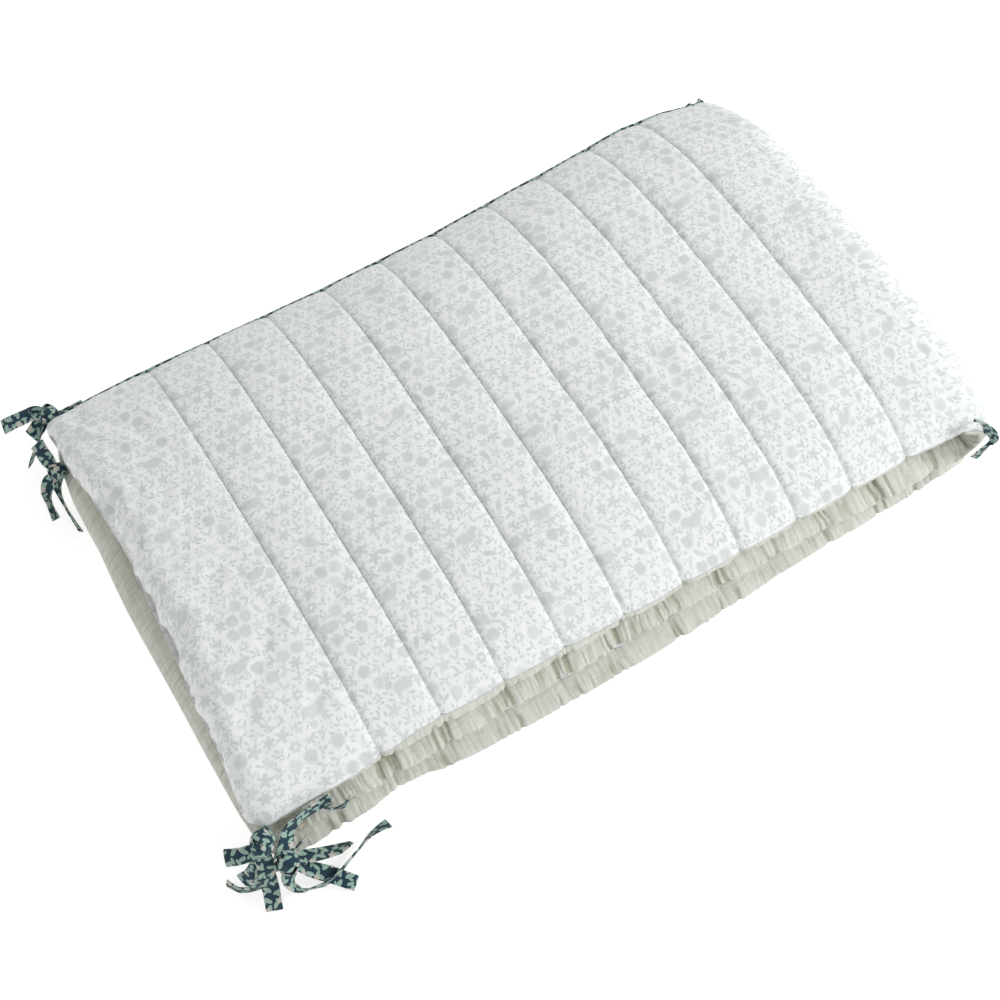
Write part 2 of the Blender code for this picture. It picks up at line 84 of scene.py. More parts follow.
SEAM_PITCH = {"top": 0.0460, "middle": 0.0430, "bottom": 0.0430}
FIRST_SEAM_X = {"top": -0.230, "middle": 0.204, "bottom": -0.269}
FOLD_SEAM = 4 / 6  # the seam inside each fold, as a share of its turn
SEAM_S = np.sort(np.concatenate([
    FIRST_SEAM_X["top"] - END_A_X + SEAM_PITCH["top"] * np.arange(11),
    [TOP_END + FOLD_SEAM * (FOLD_1_END - TOP_END)],
    FOLD_1_END + FOLD_1_X - FIRST_SEAM_X["middle"] + SEAM_PITCH["middle"] * np.arange(12),
    [MIDDLE_END + FOLD_SEAM * (FOLD_2_END - MIDDLE_END)],
    FOLD_2_END + FIRST_SEAM_X["bottom"] - FOLD_2_X + SEAM_PITCH["bottom"] * np.arange(12),
]))
SEAM_PINCH = 0.78  # thickness left at a stitched seam
FOLD_CALM = 0.30  # share of the pinch and the pull that is left in the folds
CALM_REACH = 0.035  # and how far from the folds that sets in
PUFF_UNEVEN = 0.07  # how much the channels differ in fullness
PUFF_POWER = 3.6  # how flat the crown of a channel is
END_ROUND = 0.018  # how far the padding thins out towards an end
END_THIN = 0.30  # thickness left right at the end
END_DROP = 0.95  # how far the thin end sinks onto what lies under it
CORNER_ROUND = 0.009
END_WANDER = (  # how far the top layer's end wanders out, by places u
    (-0.160, -0.120, -0.076, -0.020, 0.020, 0.049, 0.061, 0.068, 0.080, 0.110, 0.140, 0.160),
    (0.007, 0.005, 0.001, -0.006, -0.008, -0.011, -0.008, -0.012, -0.010, -0.005, -0.002, -0.001),
)
END_RIPPLES = [(0.0024, 0.0125, 71), (0.0013, 0.0052, 72)]  # its ripples: height, length, seed
RIPPLE_REACH = 0.030
EDGE_SQUEEZE = 0.335  # the stack is this much lower at its long edges
EDGE_POWER = 3.0  # how late the lowering sets in towards the edge
EDGE_LIMIT = 1.08  # share of the width beyond which it stays the same
FOLD_NARROW = {"near": -0.45, "far": 0.95}  # how much the folds slim at each long edge
FOLD_2_SLACK = ((0.020, 0.075, 0.130), (0.00, 0.10, 0.00))  # places u, share it is slacker
SAG = {"share": 0.020, "along": 9.0, "start": 2.0, "across": 8.0}  # slow unevenness
WIDTH_MARK = 0.1655  # half width that the edge shares refer to
# how far the long edges wander out, by places x: the top layer's far edge, the upper
# layers' near edge, the middle layer's near edge and the bottom layer's near edge
FAR_WANDER = (
    (-0.300, -0.240, -0.100, 0.000, 0.060, 0.110, 0.170, 0.205, 0.229),
    (0.004, 0.005, 0.000, 0.000, 0.003, 0.005, 0.009, 0.006, 0.000),
)
NEAR_WANDER = ((0.200, 0.229, 0.262), (0.000, 0.003, 0.007))
MIDDLE_WANDER = ((0.100, 0.170, 0.215, 0.260), (0.000, 0.004, 0.003, -0.001))
LOW_WANDER = (
    (-0.290, -0.250, -0.225, -0.205, -0.190, -0.140, -0.045, 0.000, 0.050, 0.105, 0.200, 0.225, 0.260),
    (0.000, -0.001, -0.004, -0.003, 0.001, 0.003, 0.004, 0.003, 0.001, -0.001, -0.002, -0.004, -0.004),
)
# the inside of the first fold bulges out at its near end: how far, over what length of
# the strip, and from what depth under its middle sheet
FOLD_STUFFED = {"out": 0.005, "reach": 0.028, "depth": 0.006}


def route(s):
    """Middle sheet of the folded strip at lengths s, as x, z and direction (dx, dz).

    Straight layer, half turn, straight layer, half turn, straight layer: each turn's
    angle runs from 0 to pi while s passes its fold and stays there afterwards.
    """
    turn_1 = np.clip((s - TOP_END) / RADIUS_1, 0.0, math.pi)
    turn_2 = np.clip((s - MIDDLE_END) / RADIUS_2, 0.0, math.pi)
    x = END_A_X + np.minimum(s, TOP_END) + RADIUS_1 * np.sin(turn_1)
    x = x - np.clip(s - FOLD_1_END, 0.0, MIDDLE_END - FOLD_1_END) - RADIUS_2 * np.sin(turn_2)
    x = x + np.maximum(s - FOLD_2_END, 0.0)
    z = TOP_Z - RADIUS_1 * (1 - np.cos(turn_1)) - RADIUS_2 * (1 - np.cos(turn_2))
    return x, z, np.cos(turn_1) * np.cos(turn_2), -np.sin(turn_1) - np.sin(turn_2)


def by_layer(s, sizes):
    """A layer size at lengths s, passing evenly from layer to layer at the folds."""
    ends = (TOP_END, FOLD_1_END, MIDDLE_END, FOLD_2_END)
    return np.interp(s, ends, (sizes["top"], sizes["middle"], sizes["middle"], sizes["bottom"]))


def puff(s):
    """Fullness of the channel at s: 0 on a seam, about 1 midway, an arch between."""
    edges = np.concatenate([[-END_ROUND], SEAM_S, [STRIP_LENGTH + END_ROUND]])
    k = np.clip(np.searchsorted(edges, s, side="right") - 1, 0, len(edges) - 2)
    share = (s - edges[k]) / (edges[k + 1] - edges[k])
    share = np.where(k == 0, np.maximum(share, 0.5), share)
    share = np.where(k == len(edges) - 2, np.minimum(share, 0.5), share)
    fullness = 1.0 - PUFF_UNEVEN * (0.5 + 0.5 * np.sin(2.3 * k))
    return fullness * np.sqrt(1.0 - np.abs(2.0 * share - 1.0) ** PUFF_POWER)


def seam_gap(s):
    """Distance from s to the nearest stitched seam."""
    return np.abs(s[..., None] - SEAM_S).min(axis=-1)


def seam_strength(s):
    """1 on the flat layers, less in the folds, where the seams are stretched out."""
    stops = (TOP_END - CALM_REACH, TOP_END, FOLD_1_END, FOLD_1_END + CALM_REACH,
             MIDDLE_END - CALM_REACH, MIDDLE_END, FOLD_2_END, FOLD_2_END + CALM_REACH)
    return np.interp(s, stops, (1.0, FOLD_CALM, FOLD_CALM, 1.0, 1.0, FOLD_CALM, FOLD_CALM, 1.0))


def seam_pull(s):
    """How much the seams draw the strip in at s: most on a seam, nothing midway."""
    return seam_strength(s) * (1.0 - puff(s))


def quarter_round(s, reach):
    """From 0 at either end of the strip to 1 at `reach` from it, along a quarter circle."""
    near = np.clip(np.minimum(s, STRIP_LENGTH - s) / reach, 0.0, 1.0)
    return np.sqrt(1.0 - (1.0 - near) ** 2)


def end_share(s):
    """Share of the full thickness that the strip has near its ends."""
    return END_THIN + (1.0 - END_THIN) * quarter_round(s, END_ROUND)


def half_thickness(s):
    """Half the padded thickness, pinched at seams and thinned at the ends."""
    return by_layer(s, HALF_THICKNESS) * end_share(s) * (1.0 - (1.0 - SEAM_PINCH) * seam_pull(s))


def half_width(s):
    """Half the width, drawn in at seams and rounded at the corners."""
    corner = CORNER_ROUND * (1.0 - quarter_round(s, CORNER_ROUND))
    return by_layer(s, HALF_WIDTH) - corner - by_layer(s, NOTCH_PULL) * seam_pull(s)


LATTICE = 256  # points each way before the soft noise repeats


def soft_noise(a, b, seed):
    """Smooth random heights from -1 to 1: values on a square lattice, eased between them."""
    table = np.random.default_rng(seed).uniform(-1.0, 1.0, (LATTICE, LATTICE))
    i, j = np.floor(a).astype(int), np.floor(b).astype(int)
    fa, fb = a - i, b - j
    fa, fb = fa * fa * (3 - 2 * fa), fb * fb * (3 - 2 * fb)
    i, j, i_next, j_next = (k % LATTICE for k in (i, j, i + 1, j + 1))
    low = table[i, j] * (1 - fa) + table[i_next, j] * fa
    high = table[i, j_next] * (1 - fa) + table[i_next, j_next] * fa
    return low * (1 - fb) + high * fb


def place(s, u, n):
    """World points of cloth places (s, u, n), stacked in the last axis.

    The point stands n above the route, along its normal.  Heights shrink with the cube
    of the distance from the middle line, the folds slim with them, the free end wanders
    and ripples, and the long edges wander a little out.
    """
    x, z, dx, dz = route(s)
    x = x - n * dz
    z = z + n * dx - END_DROP * by_layer(s, HALF_THICKNESS) * (1.0 - end_share(s))
    low = 1.0 - EDGE_SQUEEZE * np.minimum(np.abs(u) / WIDTH_MARK, EDGE_LIMIT) ** EDGE_POWER
    slim = 1.0 - (1.0 - low) * np.where(u < 0, FOLD_NARROW["near"], FOLD_NARROW["far"])
    in_fold_1 = (s > TOP_END) & (s < FOLD_1_END)
    in_fold_2 = (s > MIDDLE_END) & (s < FOLD_2_END)
    x = np.where(in_fold_1, FOLD_1_X + (x - FOLD_1_X) * slim, x)
    slack = np.interp(u, *FOLD_2_SLACK)
    x = np.where(in_fold_2, FOLD_2_X + (x - FOLD_2_X) * (slim - slack), x)
    x = x - np.maximum(0.0, 1.0 - s / SEAM_S[0]) * np.interp(u, *END_WANDER)
    ripple = sum(high * soft_noise(u / long, 0.0 * s, seed) for high, long, seed in END_RIPPLES)
    x = x - np.exp(-s / RIPPLE_REACH) * ripple
    wave = np.sin(SAG["along"] * x + SAG["start"]) * np.cos(SAG["across"] * u)
    z = z * low * (1.0 + SAG["share"] * wave)
    rim_share = (u / WIDTH_MARK) ** 2
    far = np.where((u > 0) & (s < TOP_END), np.interp(x, *FAR_WANDER), 0.0)
    near = np.where((u < 0) & (s < MIDDLE_END), np.interp(x, *NEAR_WANDER), 0.0)
    round_fold = np.clip((s - TOP_END) / (FOLD_1_END - TOP_END), 0.0, 1.0)
    middle_out = round_fold * np.interp(x, *MIDDLE_WANDER)
    near = near + np.where((u < 0) & (s < MIDDLE_END), middle_out, 0.0)
    near = near + np.where((u < 0) & (s > FOLD_2_END), np.interp(x, *LOW_WANDER), 0.0)
    from_middle = (s - (TOP_END + FOLD_1_END) / 2) / FOLD_STUFFED["reach"]
    inside = np.clip(-n / FOLD_STUFFED["depth"], 0.0, 1.0)
    near = near + np.where(u < 0, FOLD_STUFFED["out"] * np.exp(-from_middle ** 2) * inside, 0.0)
    return np.stack([x, u + rim_share * (far - near), np.maximum(z, 0.0)], axis=-1)


LEAST_STEP = 0.0004  # sections closer than this are one


def stations(fine, coarse, seam_band):
    """Lengths s of cross-sections: every seam and fold edge, and steps between them.

    The step is `fine` within `seam_band` of a seam, and elsewhere what coarse(s) gives.
    """
    stops = [0.0, *SEAM_S, TOP_END, FOLD_1_END, MIDDLE_END, FOLD_2_END, STRIP_LENGTH]
    stops += [s + side * seam_band for s in SEAM_S for side in (-1, 1)]
    stops = np.unique(np.clip(np.round(stops, 6), 0.0, STRIP_LENGTH))
    stops = stops[np.concatenate([[True], np.diff(stops) > LEAST_STEP])]
    stops[-1] = STRIP_LENGTH
    lengths = []
    for start, end in zip(stops[:-1], stops[1:]):
        middle = (start + end) / 2
        step = fine if abs(middle - SEAM_S).min() < seam_band else coarse(middle)
        lengths.append(np.linspace(start, end, max(int(round((end - start) / step)), 1) + 1)[:-1])
    return np.concatenate([*lengths, [STRIP_LENGTH]])


def ring_mesh(name, parts):
    """Closed solids through rings of points, with flat ends and a cloth UV map, as one mesh.

    A part is (rings, along, across): a grid of points, ring by ring, and the cloth
    coordinates in metres that go with it.  Each grid cell is one quad.
    """
    faces, points, flat = [], [], []
    for rings, along, across in parts:
        count, around = rings.shape[:2]
        start = sum(len(block) for block in points)
        corner = start + np.arange(count - 1)[:, None] * around
        here = np.arange(around)
        following = (here + 1) % around
        quads = np.stack([corner + here, corner + following,
                          corner + around + following, corner + around + here], axis=-1)
        faces += quads.reshape(-1, 4).tolist()
        faces += [(start + here[::-1]).tolist(), (start + here + (count - 1) * around).tolist()]
        points.append(rings.reshape(-1, 3))
        flat.append(np.stack(np.broadcast_arrays(along, across, rings[..., 0])[:2], axis=-1).reshape(-1, 2))
    mesh = bpy.data.meshes.new(name)
    mesh.from_pydata(np.concatenate(points).tolist(), [], faces)
    mesh.polygons.foreach_set("use_smooth", np.ones(len(mesh.polygons), bool))
    corners = np.empty(len(mesh.loops), int)
    mesh.loops.foreach_get("vertex_index", corners)
    mesh.uv_layers.new(name="cloth").data.foreach_set("uv", np.concatenate(flat)[corners].ravel())
    return mesh


def add_piece(mesh, material):
    """Puts a finished mesh into the scene as a piece that rides with the bumper."""
    mesh.materials.append(material)
    piece = bpy.data.objects.new(mesh.name, mesh)
    bpy.context.scene.collection.objects.link(piece)
    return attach(piece, "root")


# places across the panel: even turns over the rounded edge, then even steps to the middle
RIM_POWER = 1 / 3  # the rounded outline is |u/U|^6 + |n/T|^2 = 1
RIM_TOP = math.radians(62)  # how far the even turns go
rim_steps = np.linspace(0.0, 1.0, 17)
flat_steps = np.linspace(1.0, 0.0, 45)[1:]
SHEET_SHARES = np.array((0.60, 0.0, -0.60))  # places on the sheet where the panels meet


def near_seam(s):
    """Height of the panel seam along the near long edge, as a share of the half thickness."""
    return np.interp(s, *NEAR_SEAM)


def section(s, q, m):
    """Points (u, n) of the rounded outline at shares q of the half width and m of the half
    thickness, the outward direction of each, and the arc length from the middle."""
    wide, thick = half_width(s), half_thickness(s)
    u, n = q * wide, m * thick
    out_u, out_n = 6 * np.abs(q) ** 5 * np.sign(q) / wide, 2 * m / thick
    size = np.hypot(out_u, out_n)
    step_u, step_n = (np.diff(line, axis=1, prepend=line[:, :1]) for line in (u, n))
    arc = np.cumsum(np.hypot(step_u, step_n), axis=1)
    middle = u.shape[1] // 2
    return u, n, out_u / size, out_n / size, arc - arc[:, middle:middle + 1]


def sheet_between(s, gap):
    """Points (u, n) of the sheet where the panels meet, from the far seam to the near one."""
    rims = np.where(SHEET_SHARES < 0, np.cos(np.arcsin(near_seam(s))) ** RIM_POWER, 1.0)
    height = near_seam(s) + (FAR_SEAM - near_seam(s)) * (1.0 + SHEET_SHARES) / 2.0
    return half_width(s) * rims * SHEET_SHARES, half_thickness(s) * height + gap


def outline(s, side, rim_end, steps, middle_q):
    """Outer line of a panel: round the near rim, over (side 1) or under the middle, far rim.

    The turn on each rim goes from its panel seam to rim_end by the shares `steps`.
    """
    starts = np.arcsin(near_seam(s)), np.arcsin(FAR_SEAM) + 0 * s
    near, far = (start + (rim_end - start) * steps for start in starts)
    far = far[:, ::-1]
    q = np.concatenate([-np.cos(near) ** RIM_POWER, middle_q, np.cos(far) ** RIM_POWER], axis=1)
    m = np.concatenate([np.sin(near), side * np.sqrt(1.0 - np.abs(middle_q) ** 6), np.sin(far)], axis=1)
    return section(s, q, m)


def upper_outline(s):
    """Outer line of the printed panel at lengths s: from the near seam over to the far seam."""
    crown = np.cos(RIM_TOP) ** RIM_POWER * flat_steps
    return outline(s, 1, RIM_TOP, rim_steps, np.concatenate([-crown, crown[-2::-1]]) + 0 * s)


END_TUCK = 0.6  # how much the seam pulls the very end thin
TUCK_REACH = 0.004
END_STILL = 0.006  # over this length the relief sets in from an end


def panel(name, s, place_s, outer, relief, still_columns, gap, flip):
    """Mesh of a panel, and its relief: its outer line and the sheet between, ring by ring.

    The relief fades to nothing over the last columns, where the panels meet, and at the
    ends.  The cloth at s lies where the strip has place_s.  A flip of -1 turns the rings
    round, so that the faces look outwards.
    """
    u, n, out_u, out_n, v = outer
    columns = np.arange(u.shape[1])
    still = np.clip(np.minimum(columns, columns[::-1]) / still_columns, 0.0, 1.0)
    ends_still = np.clip(np.minimum(s, STRIP_LENGTH - s) / END_STILL, 0.0, 1.0)
    lift = relief * still * ends_still
    tuck = 1.0 - END_TUCK * (1.0 - quarter_round(s, TUCK_REACH))
    outside = place(place_s, u + lift * out_u, (n + lift * out_n) * tuck + gap)
    sheet_u, sheet_n = sheet_between(s, gap)
    rings = np.concatenate([outside, place(place_s, sheet_u, sheet_n)], axis=1) + np.array(MOVE)
    across = np.concatenate([v, sheet_u], axis=1)
    return ring_mesh(name, [(rings[:, ::flip], s, across[:, ::flip])]), lift


def ring_values(mesh, name, values):
    """Stores one number for each ring of a mesh, or for each of its points, for its material."""
    around = len(mesh.vertices) // len(values)
    layer = mesh.attributes.new(name, "FLOAT", "POINT")
    numbers = np.broadcast_to(values, (len(values), around))
    layer.data.foreach_set("value", np.ascontiguousarray(numbers, dtype=np.float32).ravel())

# creases that the cloth shows where it is pushed together: from and to (s, u), depth, width
CREASES = [
    # s1, u1, s2, u2, depth, width
    (0.020, 0.150, 0.052, 0.118, 0.0022, 0.0050),
    (0.014, 0.120, 0.040, 0.098, 0.0016, 0.0045),
    (0.040, 0.128, 0.060, 0.090, 0.0014, 0.0050),
    (0.020, -0.112, 0.062, -0.060, 0.0016, 0.0060),
    (0.046, -0.150, 0.078, -0.100, 0.0014, 0.0055),
    (0.106, -0.068, 0.126, -0.050, 0.0012, 0.0040),
    (0.030, 0.020, 0.064, 0.034, 0.0010, 0.0070),
    (0.012, -0.030, 0.050, -0.012, 0.0010, 0.0060),
]


def crease_depth(s, u):
    """Sum of soft valleys along the creases: each a bell across its line, eased at its ends."""
    depth = np.zeros(np.broadcast(s, u).shape)
    for s1, u1, s2, u2, deep, wide in CREASES:
        line = np.array([s2 - s1, u2 - u1])
        length = np.hypot(*line)
        along = ((s - s1) * line[0] + (u - u1) * line[1]) / length
        across = ((s - s1) * -line[1] + (u - u1) * line[0]) / length
        over = np.maximum(np.maximum(-along, along - length), 0.0)
        depth = depth + deep * np.exp(-(across / wide) ** 2 - (over / (1.5 * wide)) ** 2)
    return depth


def front_relief(s, v):
    """How far the printed cloth stands off its plain puff.

    A groove along each seam with small puckers beside it, slow unevenness in the
    channels, fine wrinkles, crumples near the free end, and the creases.  Each term is
    its height times soft noise, whose sizes are what s and v are divided by.
    """
    beside_seam = np.exp(-(seam_gap(s) / 0.008) ** 2) * seam_strength(s)
    groove = 0.0011 * np.exp(-(seam_gap(s) / 0.0021) ** 2) * seam_strength(s)
    groove = groove * (0.45 + 0.75 * np.clip((-v - 0.02) / 0.12, 0.0, 1.0))
    pucker = 0.0006 * beside_seam * soft_noise(v / 0.0065, s / 0.024, 11)
    pull = 0.0006 * beside_seam * soft_noise(v / 0.019, s / 0.030, 12)
    drape = 0.0008 * soft_noise(s / 0.046, v / 0.052, 13) + 0.0005 * soft_noise(s / 0.019, v / 0.028, 14)
    crumple = 0.0016 * np.clip(1.0 - s / 0.10, 0.0, 1.0) * soft_noise(s / 0.011, v / 0.015, 15)
    crinkle = 0.00038 * np.abs(soft_noise(s / 0.0085 + 0.6 * v / 0.010, v / 0.0105, 16))
    return pucker + pull + drape + crumple - 2.0 * crinkle - groove - crease_depth(s, v)


def front_step(s):
    """Distance of the cross-sections: fine where the cotton shows, coarse inside the stack."""
    return 0.0024 if s < FOLD_1_END + 0.02 else 0.0065


front_s = stations(fine=0.0011, coarse=front_step, seam_band=0.005)[:, None]
front_outer = upper_outline(front_s)
plain_front = place(front_s, front_outer[0], front_outer[1] + PANEL_GAP / 2)
# the row frame's zero is the box centre of the whole part, so the panel's own place tells it
cad_low, cad_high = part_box("front_panel")
MOVE = Vector((0.0, 0.0, 0.0))
for axis in (0, 1):
    plain = plain_front[..., axis]
    MOVE[axis] = (cad_low[axis] + cad_high[axis] - plain.min() - plain.max()) / 2

# the relief is half as high inside the stack
relief = front_relief(front_s, front_outer[4]) * np.where(front_s < FOLD_1_END, 1.0, 0.5)
front_mesh, _ = panel("front_cloth", front_s, front_s, front_outer, relief,
                      still_columns=3.0, gap=PANEL_GAP / 2, flip=1)
STITCH_LINE = 0.0011  # half the width of the stitched line; it fades in the folds
stitch_gap = seam_gap(front_s) + STITCH_LINE * (1.0 - seam_strength(front_s))
ring_values(front_mesh, "stitch_gap", stitch_gap)


def node(tree, kind, values=None, **settings):
    """One shader node with its settings; values fills its inputs by number, with links or numbers."""
    made = tree.nodes.new("ShaderNode" + kind)
    for key, value in settings.items():
        setattr(made, key, value)
    for number, value in (values or {}).items():
        if isinstance(value, bpy.types.NodeSocket):
            tree.links.new(value, made.inputs[number])
        else:
            made.inputs[number].default_value = value
    return made


def maths(tree, operation, *values, clamp=False):
    """Result of a Math node on one to three values or sockets."""
    made = node(tree, "Math", dict(enumerate(values)), operation=operation, use_clamp=clamp)
    return made.outputs[0]


def vectors(tree, operation, *values):
    """Vector result of a Vector Math node."""
    return node(tree, "VectorMath", dict(enumerate(values)), operation=operation).outputs[0]


def colour_mix(tree, share, first, second):
    """Colour between first and second."""
    return node(tree, "Mix", {0: share, 6: first, 7: second}, data_type="RGBA").outputs[2]


def group(name, inputs, outputs):
    """Empty node group; inputs and outputs are (name, type) rows. Returns tree, in and out nodes."""
    tree = bpy.data.node_groups.new(name, "ShaderNodeTree")
    for way, rows in (("INPUT", inputs), ("OUTPUT", outputs)):
        for label, kind in rows:
            tree.interface.new_socket(name=label, in_out=way, socket_type="NodeSocket" + kind)
    return tree, tree.nodes.new("NodeGroupInput"), tree.nodes.new("NodeGroupOutput")


def use_group(tree, made_group, **inputs):
    """Places a node group in a tree; inputs go by name, with _ for a space."""
    placed = tree.nodes.new("ShaderNodeGroup")
    placed.node_tree = made_group
    for label, value in inputs.items():
        socket = placed.inputs[label.replace("_", " ")]
        if isinstance(value, bpy.types.NodeSocket):
            tree.links.new(value, socket)
        else:
            socket.default_value = value
    return placed.outputs


def noise(tree, where, scale, detail):
    """Soft noise at a place, from 0 to 1."""
    return node(tree, "TexNoise", {0: where, 2: scale, 3: detail}).outputs[0]


def bump(tree, strength, distance, height, finer=None):
    """Normal raised by a height, on top of a finer bump's normal."""
    values = {0: strength, 1: distance, 3: height}
    if finer is not None:
        values[4] = finer
    return node(tree, "Bump", values).outputs[0]


def cloth_material(name, roughness, sheen, shine):
    """Matt cloth material; returns it with its tree, its shader and the place on the cloth."""
    material = bpy.data.materials.new(name)
    material.use_nodes = True
    tree = material.node_tree
    shader = tree.nodes["Principled BSDF"]
    shader.inputs["Roughness"].default_value = roughness
    shader.inputs["Sheen Weight"].default_value = sheen
    shader.inputs["Specular IOR Level"].default_value = shine
    return material, tree, shader, node(tree, "UVMap", uv_map="cloth").outputs[0]


# plain weave: crossing threads, each round, over and under by turns
tree, weave_in, weave_out = group(
    "plain weave", [("Cloth place", "Vector"), ("Thread pitch", "Float")], [("Height", "Float")])
weave_place = vectors(tree, "DIVIDE", weave_in.outputs[0], weave_in.outputs[1])
weave_parts = node(tree, "SeparateXYZ", {0: weave_place})
weave_waves = [maths(tree, "SINE", maths(tree, "MULTIPLY", part, math.pi))
               for part in weave_parts.outputs[:2]]
weave_height = maths(tree, "MULTIPLY", *weave_waves)
tree.links.new(maths(tree, "ABSOLUTE", weave_height), weave_out.inputs[0])
weave_group = tree


def scatter(tree, spots, cell, jitter, turn, seed):
    """Places motifs at random, one in each cell of a brick layout.

    Returns the place within the motif in millimetres, upright or turned by up to `turn`
    either way and mirrored in half of the cells, and the cell's random colour.
    """
    scaled = vectors(tree, "DIVIDE", spots, (*cell, 1.0))
    row = maths(tree, "FLOOR", node(tree, "SeparateXYZ", {0: scaled}).outputs[1])
    shift = maths(tree, "MULTIPLY", maths(tree, "MODULO", row, 2.0), 0.5)
    shifted = vectors(tree, "ADD", scaled, node(tree, "CombineXYZ", {0: shift}).outputs[0])
    cell_number = vectors(tree, "FLOOR", shifted)
    chance = node(tree, "TexWhiteNoise", {0: vectors(tree, "ADD", cell_number, (seed, seed, 0.0))},
                  noise_dimensions="2D").outputs[1]
    centred = vectors(tree, "SUBTRACT", vectors(tree, "SUBTRACT", shifted, cell_number), (0.5, 0.5, 0.0))
    in_cell = vectors(tree, "MULTIPLY", centred, (*cell, 0.0))
    wander = vectors(tree, "MULTIPLY", vectors(tree, "SUBTRACT", chance, (0.5, 0.5, 0.5)), (*jitter, 0.0))
    chances = node(tree, "SeparateXYZ", {0: chance}).outputs
    # the turn and the mirroring: further random numbers made from the same three
    spin = maths(tree, "FRACT", maths(tree, "MULTIPLY", chances[2], 7.3))
    angle = maths(tree, "MULTIPLY", maths(tree, "SUBTRACT", spin, 0.5), 2 * turn)
    turned = node(tree, "VectorRotate", {0: vectors(tree, "SUBTRACT", in_cell, wander), 3: angle},
                  rotation_type="Z_AXIS").outputs[0]
    flip = maths(tree, "GREATER_THAN", maths(tree, "FRACT", maths(tree, "MULTIPLY", chances[0], 5.7)), 0.5)
    side = node(tree, "CombineXYZ", {0: maths(tree, "MULTIPLY_ADD", flip, 2.0, -1.0), 1: 1.0, 2: 1.0})
    return vectors(tree, "MULTIPLY", turned, side.outputs[0]), chances


def from_middle_of(tree, spot):
    """Distance of a place from the motif's middle."""
    return node(tree, "VectorMath", {0: spot}, operation="LENGTH").outputs[1]


def ovals(tree, spot, rows):
    """Shape made of ovals: below 1 inside, from rows (x, y, half length, half width, degrees)."""
    nearest = None
    for x, y, long, wide, degrees in rows:
        moved = node(tree, "Mapping", {0: spot, 1: (x, y, 0.0), 2: (0.0, 0.0, math.radians(degrees)),
                                       3: (long, wide, 1.0)}, vector_type="TEXTURE").outputs[0]
        reach = from_middle_of(tree, moved)
        nearest = reach if nearest is None else maths(tree, "MINIMUM", nearest, reach)
    return nearest


def petals(tree, spot, radius, count, depth):
    """Flower of `count` petals: below 1 inside an outline that waves `depth` in and out."""
    parts = node(tree, "SeparateXYZ", {0: spot}).outputs
    angle = maths(tree, "ARCTAN2", parts[1], parts[0])
    wave = maths(tree, "COSINE", maths(tree, "MULTIPLY", angle, float(count)))
    edge = maths(tree, "MULTIPLY_ADD", wave, radius * depth / 2, radius * (1 - depth / 2))
    return maths(tree, "DIVIDE", from_middle_of(tree, spot), edge)


def choose(tree, chance, shapes):
    """One of the shapes for each cell, all equally likely."""
    chosen = shapes[0]
    for k, shape in enumerate(shapes[1:], start=1):
        later = maths(tree, "GREATER_THAN", chance, k / len(shapes))
        chosen = node(tree, "Mix", {0: later, 2: chosen, 3: shape}, data_type="FLOAT").outputs[0]
    return chosen


# motifs of the small print, in millimetres: x, y, half length, half width, degrees
HARE = [(0.0, 0.0, 6.2, 3.6, 8), (-4.2, 0.4, 3.8, 3.8, 0), (6.6, 4.4, 2.9, 2.1, -12),
        (4.4, 8.6, 3.4, 1.0, 112), (6.4, 8.8, 3.3, 0.9, 98), (-8.4, 1.6, 1.4, 1.4, 0),
        (4.6, -4.4, 3.4, 0.8, 98), (3.0, -4.4, 3.0, 0.7, 84), (-4.0, -6.4, 2.8, 0.9, 8)]
LAMB = [(0.0, 0.0, 6.8, 4.0, 0), (-4.2, 1.4, 3.2, 3.2, 0), (3.8, 1.6, 3.4, 3.0, 0),
        (8.0, 3.0, 2.4, 1.6, -28), (6.4, 4.6, 1.5, 0.6, 150), (-7.4, -0.4, 2.0, 0.8, 70),
        (5.0, -6.0, 3.8, 0.7, 92), (3.2, -6.2, 3.6, 0.7, 86), (-3.4, -6.0, 3.8, 0.7, 88),
        (-5.4, -6.2, 3.6, 0.7, 98)]
BIRD = [(0.0, 0.0, 6.0, 3.2, 24), (4.8, 4.2, 2.3, 2.0, 0), (-8.0, -4.0, 4.6, 1.1, 28),
        (-1.6, 2.8, 4.2, 1.5, 40), (7.6, 4.6, 1.5, 0.5, 5), (0.4, -4.8, 2.4, 0.4, 88),
        (2.0, -4.4, 2.4, 0.4, 88)]
SPRIG = [(0.0, -0.4, 4.2, 0.42, 90), (1.4, 0.4, 1.8, 0.75, 45), (-1.4, 1.3, 1.8, 0.75, 135),
         (0.1, 3.3, 1.5, 0.8, 85), (1.2, -1.9, 1.5, 0.7, 40)]
BROAD_LEAF = [(0.0, 0.7, 3.9, 1.6, 80), (0.2, -3.4, 1.6, 0.38, 100)]
TWO_LEAVES = [(-1.4, 0.9, 2.3, 0.85, 128), (1.5, 0.8, 2.3, 0.85, 50), (0.0, -1.5, 1.5, 0.42, 90)]
THREE_LEAVES = [(-1.6, 0.0, 1.9, 0.75, 140), (1.6, 0.2, 1.9, 0.75, 42), (0.1, 1.9, 2.0, 0.8, 90),
                (0.0, -1.6, 1.6, 0.4, 90)]
STROKES = [(-1.1, 0.6, 2.0, 0.70, 75), (1.4, -0.4, 1.9, 0.68, 15)]
BERRIES = [(-1.2, 0.9, 1.15, 1.1, 0), (1.2, 1.3, 1.1, 1.05, 0), (0.1, -1.3, 1.1, 1.1, 0)]
TINY_LEAF = [(0.0, 0.0, 1.9, 0.80, 90)]

TO_MILLIMETRES = (1000.0, 1000.0, 0.0)
tree, print_in, print_out = group("small print", [("Cloth place", "Vector")], [("Mask", "Float")])
print_spot = vectors(tree, "MULTIPLY", print_in.outputs[0], TO_MILLIMETRES)
